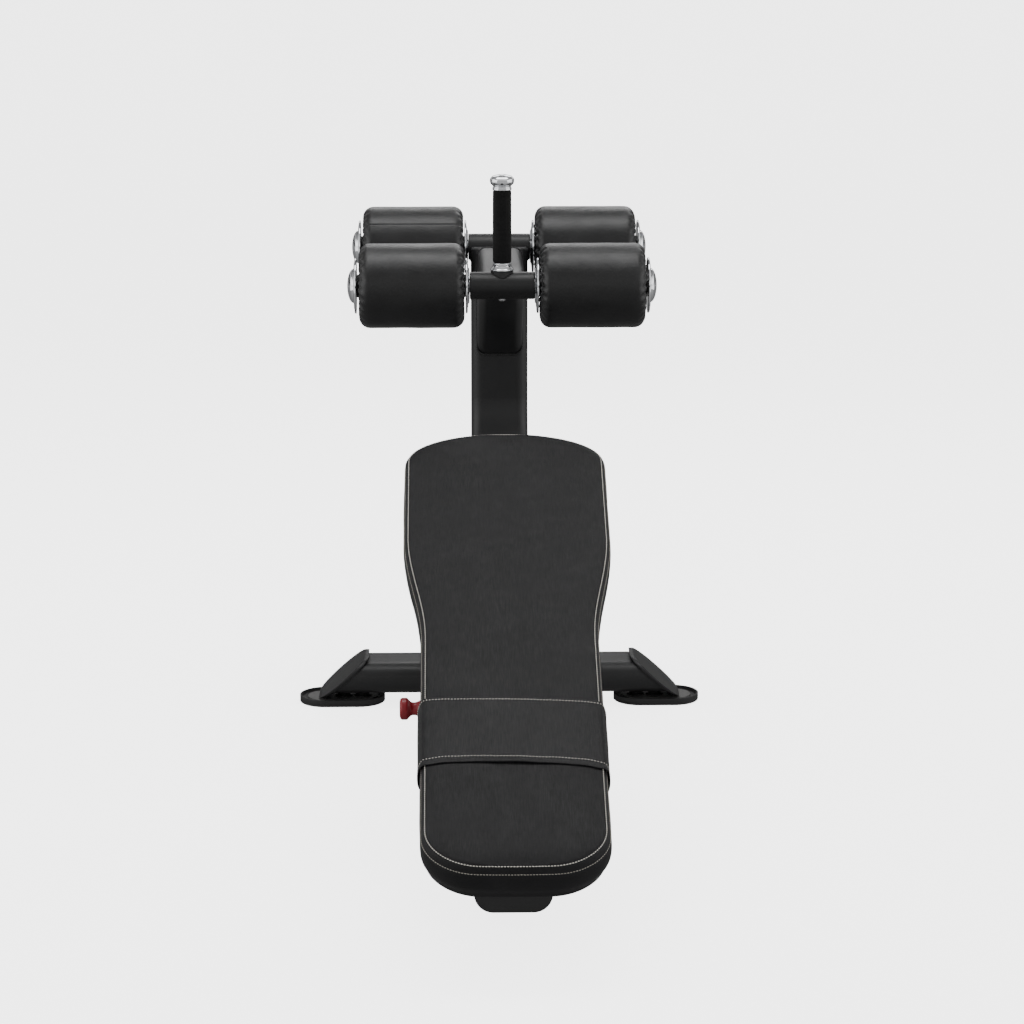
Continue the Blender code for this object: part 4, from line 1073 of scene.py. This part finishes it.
def make_handle():
    y, z = NEAR_BAR.y, NEAR_BAR.z
    post = 0.0104
    flat_top, bore = z + BAR_RADIUS + 0.0026, post + 0.0002
    rings = []
    for r, lift in ((bore, 0.0), (0.0186, -0.0004), (0.0196, 0.0004), (0.0192, 0.0018), (0.0178, 0.0030)):
        share = min(1.0, max(0.0, lift) / 0.0030)  # 0 follows the bar's curve, 1 is flat
        ring = []
        for a, b in circle(r, 72):
            surface = z + math.sqrt(BAR_RADIUS**2 - b * b)
            ring.append((a, y + b, (surface + lift) * (1 - share) + flat_top * share))
        rings.append(ring)
    rings.append([(a, y + b, flat_top) for a, b in circle(bore, 72)])
    add_piece("handle_seat", skin(rings, loop=True), "powder_coat", "frame", "handle_saddle")

    low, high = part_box("handle_collar")
    collar = shifted(low.z, [(0, post), (0, 0.0196), (0.0012, 0.0203), (0.0028, 0.0200), (0.0042, 0.0186),
                             (0.0070, 0.0168), (0.0096, 0.0156), (0.0104, 0.0160), (0.0124, 0.0160)])
    collar += [(high.z, 0.0152), (high.z, post)]
    add_turned("handle_bell", collar, (0, y, 0), Z, "chrome", "frame", "handle_collar",
               0.0009, 3, 80, loop=True, sharp=50)

    low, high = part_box("handle_grip")
    foam = 0.0162
    profile = [(low.z, post), (low.z, foam - 0.0016), (low.z + 0.0016, foam)]
    count = 42
    for k, h in enumerate(np.linspace(low.z + 0.003, high.z - 0.003, count + 1)):
        profile.append((h, foam + 0.00012 * math.sin(k * 1.9) + 0.0002 * math.sin(math.pi * k / count)))
    profile += [(high.z - 0.0016, foam), (high.z, foam - 0.0016), (high.z, post)]
    grip = add_turned("handle_foam", profile, (0, y, 0), Z, "grip_foam", "frame", "handle_grip",
                      0.0012, 2, 64, loop=True, sharp=60)

    low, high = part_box("handle_cap")
    cap = shifted(low.z, [(0, post), (0, 0.0160), (0.0010, 0.0168), (0.0042, 0.0168), (0.0050, 0.0158),
                          (0.0070, 0.0156), (0.0086, 0.0170), (0.0110, 0.0200), (0.0150, 0.0213),
                          (0.0185, 0.0212), (0.0212, 0.0200), (0.0224, 0.0186), (0.0240, 0.0176)])
    cap += shifted(high.z, [(-0.0024, 0.0140), (-0.0008, 0.0080), (0, 0.0004)])
    add_turned("handle_finial", cap, (0, y, 0), Z, "chrome", "frame", "handle_cap", 0.0012, 3, 80, sharp=60)

    head = frame_at((0, y, z - BAR_RADIUS + 0.0012), X, -Z)
    add_piece("handle_screw", scatter(cap_screw(0.0062, 0.0048), [head]), "steel", "frame", "handle_bolt")


# ---------------------------------------------------------------- rollers

ROLLER_RADIUS = 0.074
ROLLER_CORNER = 0.019
ROLLER_SPAN = (0.0645, 0.2512)


def roller_profile():
    """(distance, radius, gather) round one roller's cover; gather is 1 where it is pleated under a flange."""
    start, end = ROLLER_SPAN
    turns = np.linspace(0, math.pi / 2, 7)
    inner = []
    for a in turns:
        distance = start + 0.0006 + ROLLER_CORNER * (1 - math.cos(a))
        radius = ROLLER_RADIUS - ROLLER_CORNER * (1 - math.sin(a))
        inner.append((distance, radius, max(0.0, 1 - a / 1.3) * 0.85))
    face = [(start + 0.0030, 0.0300, 1.0), (start + 0.0022, 0.0400, 1.0), (start + 0.0012, 0.0470, 0.9)]
    middle = (start + end) / 2
    straight = [(d, ROLLER_RADIUS, 0.0) for d in np.linspace(inner[-1][0], middle, 9)[1:]]
    half = face + inner + straight
    mirrored = [(start + end - d, r, g) for d, r, g in reversed(half[:-1])]
    hidden = [(end - 0.0040, 0.0206, 1.0), (start + 0.0040, 0.0206, 1.0)]
    return half + mirrored + hidden


def make_roller_cover():
    """One roller's upholstery about the X axis: pleated ends, a lengthwise seam and a drum-tight swell."""
    profile = roller_profile()
    middle = sum(ROLLER_SPAN) / 2
    seam = math.pi
    base = np.linspace(0, 2 * math.pi, 132, endpoint=False)
    extra = seam + np.array([-0.030, -0.016, -0.006, 0.006, 0.016, 0.030])
    turns = np.sort(np.concatenate([base[np.abs(base - seam) > 0.036], extra]))
    rng = np.random.default_rng(11)
    pleats = 27
    jitter = rng.uniform(-0.35, 0.35, pleats)
    depth = rng.uniform(0.55, 1.0, pleats)
    rings = []
    for d, r, gather in profile:
        ring = []
        for a in turns:
            place = (a + 0.16 * gather) % (2 * math.pi) / (2 * math.pi) * pleats
            k = int(place) % pleats
            across = (place - int(place)) + jitter[k] * 0.3 * math.sin(math.pi * (place - int(place)))
            fold = (1 - abs(2 * across - 1)) ** 1.6 * depth[k]
            off = (a - seam) * r
            groove = math.exp(-((off / 0.0011) ** 2)) * 0.0010
            lap = 0.0006 * math.exp(-max(0.0, off) / 0.010) if off > 0 else 0.0
            radius = r - (groove - lap) * (1 - gather) - 0.0072 * fold * gather * (r > 0.045)
            inward = 0.0062 * fold * gather * (1 if d < middle else -1) * (0.3 if r < 0.045 else 1.0)
            ring.append((d + inward, radius * math.cos(a), radius * math.sin(a)))
        rings.append(ring)
    obj = blank_cover("roller_cover", *skin(rings, loop=True))
    mesh = obj.data
    held = np.repeat([1.0 if g > 0.5 or r < 0.05 else 0.25 + g for _, r, g in profile], len(turns))
    points = coords(mesh)
    close = np.abs(np.arctan2(points[:, 2], points[:, 1]) % (2 * math.pi) - seam) < 0.02
    held[close] = 1.0
    puff(obj, np.clip(held, 0, 1), 0.0011, pressure=2.0, frames=12)
    points = coords(mesh)
    free = np.hypot(points[:, 1], points[:, 2]) > 0.06
    dents = waves(points, 5, (0.09, 0.05, 0.03)) * 0.0006
    set_coords(mesh, points + normals_of(mesh) * (free * dents)[:, None])
    bpy.data.objects.remove(obj)
    return mesh


def reach_of(node):
    """How near to the middle plane a roller's piece begins, and how far from it the piece ends."""
    return sorted(abs(corner.x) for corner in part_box(node))


def make_rollers():
    cover = make_roller_cover()
    seams = {"far_left": -41, "far_right": 215, "near_left": 200, "near_right": 170}
    for row, place in (("far", FAR_BAR), ("near", NEAR_BAR)):
        for side, label in SIDES:
            name = f"{row}_roller_{label}"
            mesh = cover.copy()
            turn = Matrix.Rotation(math.radians(seams[f"{row}_{label}"]), 4, "X")
            flip = Matrix.Diagonal((side, 1, 1, 1))
            mesh.transform(Matrix.Translation(place) @ flip @ turn)
            pad = add_piece(f"{name}_cover", mesh, "roller_upholstery", name, f"{name}_pad",
                            sharp=180, subdivide=1)
            make_roller_flange(name, place, side)
            make_roller_cap(name, place, side)


def make_roller_flange(name, place, side):
    low, high = reach_of(f"{name}_inner_flange")
    flange = shifted(low, [(0, AXLE_BORE), (0, 0.0296), (0.0010, 0.0312)])
    flange += shifted(high - 0.0045, [(-0.0003, 0.0320), (0, 0.0330), (0, 0.0372), (0.0008, 0.0384),
                                      (0.0008, 0.0452), (0.0014, 0.0478), (0.0024, 0.0485)])
    flange += shifted(high, [(-0.0004, 0.0485), (0, 0.0480), (0, AXLE_BORE)])
    add_turned(f"{name}_inner_disc", flange, place, X * side, "chrome", name, f"{name}_inner_flange",
               0.0006, 3, 96, loop=True, sharp=40)


def make_roller_cap(name, place, side):
    """A stepped rim with a domed middle."""
    low, high = reach_of(f"{name}_outer_cap")
    rim = shifted(low, [(0.0012, 0.0170), (0, 0.0170), (0, 0.0480), (0.0004, 0.0485), (0.0022, 0.0485),
                        (0.0034, 0.0474), (0.0036, 0.0420), (0.0044, 0.0408), (0.0046, 0.0352),
                        (0.0040, 0.0342), (0.0040, 0.0316)])
    base = low + 0.0046
    turns = np.linspace(0.05, math.pi / 2 - 0.02, 12)
    dome = [(base + (high - base) * math.sin(a), 0.0302 * math.cos(a)) for a in turns]
    profile = soften(rim, 0.0007, 3) + dome + [(high, 0.0002)]
    cap = lathe(profile, place, X * side, 96)
    add_piece(f"{name}_end_cap", cap, "chrome", name, f"{name}_outer_cap", sharp=40)


# ---------------------------------------------------------------- pad


def pad_point(x, u, n):
    return X * x + DOWN * (PAD_U0 + u) + OUT * (PAD_N0 + n)


def pad_rows():
    """(u, half width) down the pad, closer together round the corners."""
    rows = []
    for a in np.linspace(0, math.pi / 2, 13):
        rows.append((FAR_CORNER[1] * (1 - math.cos(a)), HIP_HALF - FAR_CORNER[0] * (1 - math.sin(a))))
    first, last = FAR_CORNER[1], PAD_LENGTH - NEAR_CORNER[1]
    for u in np.linspace(first, last, 92)[1:-1]:
        t = min(1.0, max(0.0, (u - WAIST[0]) / (WAIST[1] - WAIST[0])))
        rows.append((u, HIP_HALF + (HEAD_HALF - HIP_HALF) * (1 - math.cos(math.pi * t)) / 2))
    for a in np.linspace(0, math.pi / 2, 13):
        rows.append((last + NEAR_CORNER[1] * math.sin(a), HEAD_HALF - NEAR_CORNER[0] * (1 - math.cos(a))))
    return rows


def pad_place(v, u, half, inset, n):
    """A point of the cover: v runs from -1 to 1 across, inset is from the outline."""
    scale = (PAD_LENGTH - 2 * inset) / PAD_LENGTH
    x = v * (half - inset)
    along = inset + u * scale
    bow_far = FAR_BOW * (x / HIP_HALF) ** 2 * max(0.0, 1 - u / 0.12) ** 2
    bow_near = NEAR_BOW * (x / HEAD_HALF) ** 2 * max(0.0, 1 - (PAD_LENGTH - u) / 0.12) ** 2
    lift = FAR_LIFT * max(0.0, 1 - u / 0.16) ** 2
    return pad_point(x, along + bow_far - bow_near - lift, n + lift * max(0.0, 1 + n / PAD_THICK))


PAD_COLUMNS = 35
SEAM_1 = (0.0082, -0.0042)
SEAM_2 = (0.0026, -0.0150)


def pad_border(rows):
    """The grid's rim as (row, column) pairs, once round."""
    last_row, last_column = len(rows) - 1, PAD_COLUMNS - 1
    rim = [(0, c) for c in range(PAD_COLUMNS)]
    rim += [(r, last_column) for r in range(1, last_row + 1)]
    rim += [(last_row, c) for c in range(last_column - 1, -1, -1)]
    rim += [(r, 0) for r in range(last_row - 1, 0, -1)]
    return rim


def across(c):
    """Columns sit closer together near the pad's sides."""
    v = 2 * c / (PAD_COLUMNS - 1) - 1
    return math.sin(v * 1.25) / math.sin(1.25)


def pad_ring(rows, inset, n):
    return [pad_place(across(c), *rows[r], inset, n) for r, c in pad_border(rows)]


def pad_hem_ring(rows, inset, n):
    """The turned-under hem, gathered at the corners and cut a little ragged."""
    ring = []
    for i, (r, c) in enumerate(pad_border(rows)):
        fold = math.sin(i * 1.7) * math.sin(i * 0.53)
        corner = 1.0 if r < 10 or r > len(rows) - 11 else 0.25
        ring.append(pad_place(across(c), *rows[r], inset + 0.0014 * fold, n - 0.0005 * abs(fold) * corner))
    return ring


def make_cushion():
    rows = pad_rows()
    count = len(rows)
    verts, held = [], []
    for r, (u, half) in enumerate(rows):
        for c in range(PAD_COLUMNS):
            v = across(c)
            rim = r in (0, count - 1) or c in (0, PAD_COLUMNS - 1)
            verts.append(pad_place(v, u, half, 0.0100, -0.0030 if rim else -0.0020))
            held.append(1.0 if rim else 0.0)
    faces = []
    for r in range(count - 1):
        for c in range(PAD_COLUMNS - 1):
            i = r * PAD_COLUMNS + c
            faces.append((i, i + 1, i + PAD_COLUMNS + 1, i + PAD_COLUMNS))
    hem = [(0.0074, 0.0040), (0.0086, 0.0006), (0.0110, -0.0010), (0.0200, -0.0014), (0.0330, -0.0014),
           (0.0335, -0.0002), (0.0200, -0.0002), (0.0098, -0.0002), (0.0094, 0.0020)]
    levels = [
        (*SEAM_1, 1.0), (0.0070, -0.0046, 1.0), (0.0052, -0.0076, 0.2), (0.0038, -0.0112, 0.2),
        (0.0029, -0.0136, 1.0), (*SEAM_2, 1.0), (0.0017, -0.0163, 1.0), (0.0006, -0.0205, 0.1),
        (0.0002, -0.0270, 0.0), (0.0002, -0.0335, 0.0), (0.0006, -0.0400, 0.1), (0.0018, -0.0460, 0.4),
        (0.0038, -0.0510, 0.8), (0.0058, -0.0560, 1.0),
        *((inset, BOARD_FACE + n, 1.0) for inset, n in hem), (0.0094, -PAD_THICK, 1.0),
    ]
    border = [r * PAD_COLUMNS + c for r, c in pad_border(rows)]
    previous = border
    for inset, n, hold in levels:
        start = len(verts)
        verts += pad_hem_ring(rows, inset, n) if 0.019 < inset < 0.034 else pad_ring(rows, inset, n)
        held += [hold] * len(border)
        ring = list(range(start, start + len(border)))
        for i in range(len(border)):
            j = (i + 1) % len(border)
            faces.append((previous[i], previous[j], ring[j], ring[i]))
        previous = ring
    under_rim = dict(zip(pad_border(rows), previous))
    under = {}
    for r, (u, half) in enumerate(rows):
        for c in range(PAD_COLUMNS):
            if (r, c) in under_rim:
                under[r, c] = under_rim[r, c]
            else:
                under[r, c] = len(verts)
                verts.append(pad_place(across(c), u, half, 0.0120, -PAD_THICK + 0.0002))
                held.append(1.0)
    for r in range(count - 1):
        for c in range(PAD_COLUMNS - 1):
            faces.append((under[r, c], under[r + 1, c], under[r + 1, c + 1], under[r, c + 1]))

    obj = blank_cover("pad_cover", verts, faces)
    mesh = obj.data
    held = np.array(held)
    top = np.arange(len(verts)) < count * PAD_COLUMNS
    cap = np.where(top, 0.0042, 0.0014)
    puff(obj, held, cap)
    points, normals = coords(mesh), normals_of(mesh)
    free = 1 - held
    seam_near = np.exp(-np.abs(np.abs(points[:, 0]) - 0.13) / 0.03)
    broad = waves(points, 3, (0.16, 0.09)) * 0.0007
    ripple = broad + waves(points, 4, (0.028, 0.022)) * 0.00028 * (0.3 + seam_near)
    set_coords(mesh, points + normals * (ripple * free)[:, None])
    bpy.data.objects.remove(obj)
    cover = add_piece("pad_cover", mesh, "upholstery", "bench", "pad_cushion", sharp=180, subdivide=1)
    return rows, cover


def stitch(long=0.0034, thick=0.00058):
    """One stitch: a short plump capsule lying along x, half sunk in the cover."""
    rings = []
    for t in np.linspace(-1, 1, 7):
        r = thick * math.sqrt(max(0.04, 1 - t**4 * 0.96))
        sink = -0.45 * thick * t * t
        rings.append([(t * long / 2, a * r, b * r * 0.8 + sink) for a, b in circle(1, 6)])
    return skin(rings)


def add_stitches(name, points, outs, look, step=0.0045, closed=False, long=0.0034, thick=0.00058, wander=0.0):
    """A row of stitches along points, with the cover's outward direction at each."""
    places = []
    line = spaced(points, step, closed)
    guide = np.array([list(p) for p in points])
    total = len(line)
    for k in range(total):
        here = Vector(line[k])
        last = k + 1 == total and not closed
        ahead = here + (here - Vector(line[k - 1])) if last else Vector(line[(k + 1) % total])
        near = int(np.argmin(((guide - line[k]) ** 2).sum(axis=1)))
        out = Vector(outs[near])
        along = (ahead - here).normalized()
        side = out.cross(along).normalized()
        skew = Matrix.Rotation(RANDOM.uniform(-0.07, 0.07), 4, "Z")
        middle = (here + ahead) / 2 + out * thick * 0.35 + side * RANDOM.uniform(-wander, wander)
        places.append(frame_at(middle, along, out) @ skew)
    return add_piece(name, scatter(stitch(long, thick), places), look, "bench", sharp=180)


def surface_of(obj):
    evaluated = obj.evaluated_get(bpy.context.evaluated_depsgraph_get())
    return BVHTree.FromObject(evaluated, bpy.context.evaluated_depsgraph_get())


def make_pad_stitching(rows, cover):
    """Thread laid on the finished cover along the upper and lower welt seams."""
    tree = surface_of(cover)
    # the side row uses the darker thread copy: painted shade on the side wall, the same thread as the top row
    seams = (("top", SEAM_1, "thread", 0.00080), ("side", SEAM_2, "grey_thread", 0.00068))
    for name, seam, look, thick in seams:
        points, outs = [], []
        for p in pad_ring(rows, *seam):
            place, normal, _, _ = tree.find_nearest(p)
            points.append(place)
            outs.append(normal)
        add_stitches(f"pad_stitches_{name}_a", points, outs, look, closed=True, thick=thick)


def make_staples(rows):
    """Staples through the turned-under hem."""
    staples = []
    line = spaced(pad_ring(rows, 0.0240, BOARD_FACE - 0.0022), 0.030, closed=True)
    for k in range(len(line)):
        here, ahead = Vector(line[k]), Vector(line[(k + 1) % len(line)])
        along = (ahead - here).normalized()
        staples.append(frame_at(here, along + OUT.cross(along) * 0.4, -OUT))
    wire = [(-0.0050, 0, -0.0014), (-0.0050, 0, 0.0004), (-0.0044, 0, 0.0009), (0.0044, 0, 0.0009),
            (0.0050, 0, 0.0004), (0.0050, 0, -0.0014)]
    add_piece("pad_staples", scatter(sweep(wire, 0.0005, 6), staples), "steel", "bench", sharp=180)


def make_board(rows):
    low, high = extent("pad_board", OUT)
    outline = []
    for r, c in pad_border(rows):
        p = pad_place(across(c), *rows[r], BOARD_INSET, 0)
        outline.append((p.x, p.dot(DOWN) - PAD_U0))

    def place(a, b, c):
        return pad_point(a, b, BOARD_FACE + c)

    board = slab([outline], high - low, place)
    add_piece("pad_ply_board", board, "plywood", "bench", "pad_board", bevel=0.0015)


def make_mount_brackets():
    for label in ("far", "near"):
        node = f"pad_mount_plate_{label}"
        n0, n1 = extent(node, OUT)
        u0, u1 = extent(node, DOWN)
        low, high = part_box(node)
        middle, face = (u0 + u1) / 2 - PAD_U0, n0 - PAD_N0

        def place(a, b, c):
            return pad_point(a, middle + b, face + c)

        spots = [(sx * 0.080, su * 0.018) for sx in (-1, 1) for su in (-1, 1)]
        holes = [[(x + a, u + b) for a, b in circle(0.0040, 20)] for x, u in spots]
        outline = rounded_rectangle(high.x - low.x, u1 - u0, 0.012, 6)
        plate = slab([outline] + holes, n1 - n0, place)
        add_piece(f"mount_bracket_{label}", plate, "powder_coat", "bench", node, bevel=0.0010)
        heads = [frame_at(place(x, u, 0), X, -OUT) for x, u in spots]
        add_piece(f"mount_screws_{label}", scatter(hex_head(), heads), "steel", "bench", sharp=25)
        for side, word in SIDES:
            line = [place(side * 0.0406, u, -0.0006) for u in np.linspace(-0.027, 0.027, 14)]
            add_weld(f"weld_bracket_{label}_{word}", line, "bench", radius=0.0024)


def make_carrier():
    """The tube under the pad and its two end plugs."""
    n0, n1 = extent("carrier_tube", OUT)
    u0, u1 = extent("carrier_tube", DOWN)
    low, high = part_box("carrier_tube")
    wide, tall = high.x - low.x, n1 - n0
    section = rounded_rectangle(wide, tall, 0.008, 7)
    bore = rounded_rectangle(wide - 0.006, tall - 0.006, 0.005, 7)
    middle = (n0 + n1) / 2 - PAD_N0
    rings = [[pad_point(x, u - PAD_U0, middle + n) for x, n in section] for u in np.linspace(u0, u1, 16)]
    rings += [[pad_point(x, u - PAD_U0, middle + n) for x, n in bore] for u in (u1, u0)]
    add_piece("carrier_beam", skin(rings, loop=True), "powder_coat", "bench", "carrier_tube")

    def plug(end, profile):
        return skin([[pad_point(x * size, end - PAD_U0 + d, middle + n * size) for x, n in section]
                     for d, size in profile])

    cap = plug(extent("carrier_cap", DOWN)[0], [(-0.012, 0.91), (0.0, 0.91), (0.0, 1.0), (0.0020, 1.0),
                                                (0.0034, 0.985), (0.0044, 0.94), (0.0050, 0.80)])
    add_piece("carrier_end_cap", cap, "plastic_cap", "bench", "carrier_cap", sharp=50)
    far = plug(u0, [(0.010, 0.90), (-0.0004, 0.90), (-0.0004, 0.99), (-0.0026, 0.98), (-0.0036, 0.92),
                    (-0.0038, 0.7)])
    add_piece("carrier_far_plug", far, "plastic_cap", "bench", sharp=50)


def sleeve_section(n_low):
    """(x, n) points round the band, from one turned-in end under the board over the top to the other."""
    half, hem_in = HEAD_HALF, 0.097
    corner = [(half - 0.0125 + 0.0085 * math.cos(a), n_low + 0.0080 + 0.0095 * math.sin(a))
              for a in np.linspace(-math.pi / 2, 0, 7)]
    side = [(half + 0.0024, n) for n in np.linspace(n_low + 0.013, -0.022, 10)]
    bend = [(half - 0.014 + 0.0164 * math.cos(a), -0.0160 + 0.0170 * math.sin(a))
            for a in np.linspace(0.1, math.pi / 2, 10)]
    flat = [(x, 0.0010) for x in np.linspace(half - 0.022, 0, 16)]
    hem = [(x, n_low - 0.0015) for x in np.linspace(hem_in, half - 0.016, 6)]
    right = hem + corner + side + bend + flat
    return right[:-1] + [(-x, n) for x, n in reversed(right)]


def make_sleeve(cover):
    """The stitched wear sleeve, a vinyl band stretched over the cover and tucked under the board."""
    tree = surface_of(cover)
    u0, u1 = extent("wear_sleeve", DOWN)
    u0, u1 = u0 - PAD_U0 + 0.004, u1 - PAD_U0 + 0.006
    skew = 0.0050
    n_low = extent("wear_sleeve", OUT)[0] - PAD_N0
    section = sleeve_section(n_low)
    middle = -0.030
    width = u1 - u0
    stations = [0.0, 0.0012, 0.0030, 0.0048, 0.0064, 0.0090] + list(np.linspace(0.016, width - 0.0200, 20))
    stations += [width - d for d in (0.0172, 0.0156, 0.0140, 0.0124, 0.0090, 0.0052, 0.0022, 0.0004)]
    grid, outs = [], []
    for d in stations:
        stitched_far = math.exp(-(((d - 0.0048) / 0.0020) ** 2))
        stitched_near = math.exp(-(((width - d - 0.0140) / 0.0017) ** 2))
        open_hem = math.exp(-(((width - d - 0.0035) / 0.0042) ** 2))
        lifted = min(1.0, d / 0.012)
        row, row_out = [], []
        for k, (x, n) in enumerate(section):
            outward = max(-1.0, min(1.0, x / HEAD_HALF))
            reach = Vector((x, n - middle)).length
            direction = X * (x / reach) + OUT * ((n - middle) / reach)
            if n > n_low + 0.004:
                centre = pad_point(0, u0 + d + skew * outward, middle)
                hit = tree.ray_cast(centre + direction * 0.4, -direction)
                if hit[0] is not None:
                    surface = (hit[0] - centre).length
                    reach = max(surface + 0.0009, min(reach, surface + 0.0022))
            sag = 0.0003 * math.sin(k * 0.31 + d * 40) * lifted
            loose = min(1.0, max(0.15, (n + 0.022) / 0.014))
            pulled = (0.0006 * lifted + 0.0018 * open_hem * loose - 0.0008 * stitched_far
                      - 0.0009 * stitched_near + sag * 0.6)
            uneven = 0.0060 * outward**4 + 0.0003 * math.sin(k * 0.9)
            droop = skew * outward + uneven * (d / width)
            row.append(pad_point(0, u0 + d + droop, middle) + direction * (reach + max(0.0004, pulled)))
            row_out.append(direction)
        grid.append(row)
        outs.append(row_out)
    count = len(section)
    verts = [p for row in grid for p in row]
    faces = []
    for r in range(len(grid) - 1):
        for c in range(count - 1):
            i = r * count + c
            faces.append((i, i + 1, i + count + 1, i + count))
    sleeve = add_piece("wear_cover", (verts, faces), "sleeve_vinyl", "bench", "wear_sleeve", sharp=180)
    thick = sleeve.modifiers.new("thick", "SOLIDIFY")
    thick.thickness, thick.offset, thick.use_even_offset = 0.0011, 1.0, True
    fine = sleeve.modifiers.new("fine", "SUBSURF")
    fine.levels = fine.render_levels = 1
    outer = surface_of(sleeve)
    for label, row, wander in (("far", 3, 0.0003), ("near", len(stations) - 6, 0.0002)):
        points, normals = [], []
        for p, out in zip(grid[row], outs[row]):
            hit = outer.ray_cast(p + out * 0.02, -out)
            if hit[0] is not None and p.dot(OUT) - PAD_N0 > n_low + 0.004:
                points.append(hit[0])
                normals.append(out)
        add_stitches(f"sleeve_stitches_{label}", points, normals, "thread", step=0.0048,
                                    long=0.0028, thick=0.00078, wander=wander)


def dress_hidden_nodes():
    """CAD nodes whose plain turned shape is right keep it, with the finished materials."""
    kept = {
        "far_axle": "steel", "near_axle": "steel", "handle_post": "steel",
        "hinge_bush": "bronze",
    }
    for row in ("far", "near"):
        for _, label in SIDES:
            kept[f"{row}_roller_{label}_core"] = "core_plastic"
    for node, look in kept.items():
        for slot in frame["nodes"][node].material_slots:
            slot.material = LOOKS[look]


make_camera()
make_sky()
make_lamps()
make_floor()
make_floor_frame()
for sign, word in SIDES:
    make_rear_foot(sign, word)
make_column()
make_arm()
make_bars()
make_support()
make_hinge()
make_sector()
make_selector_stand()
make_pull_pin()
make_handle()
make_rollers()
PAD_ROWS, PAD_COVER = make_cushion()
make_pad_stitching(PAD_ROWS, PAD_COVER)
make_board(PAD_ROWS)
make_staples(PAD_ROWS)
make_mount_brackets()
make_carrier()
make_sleeve(PAD_COVER)
dress_hidden_nodes()
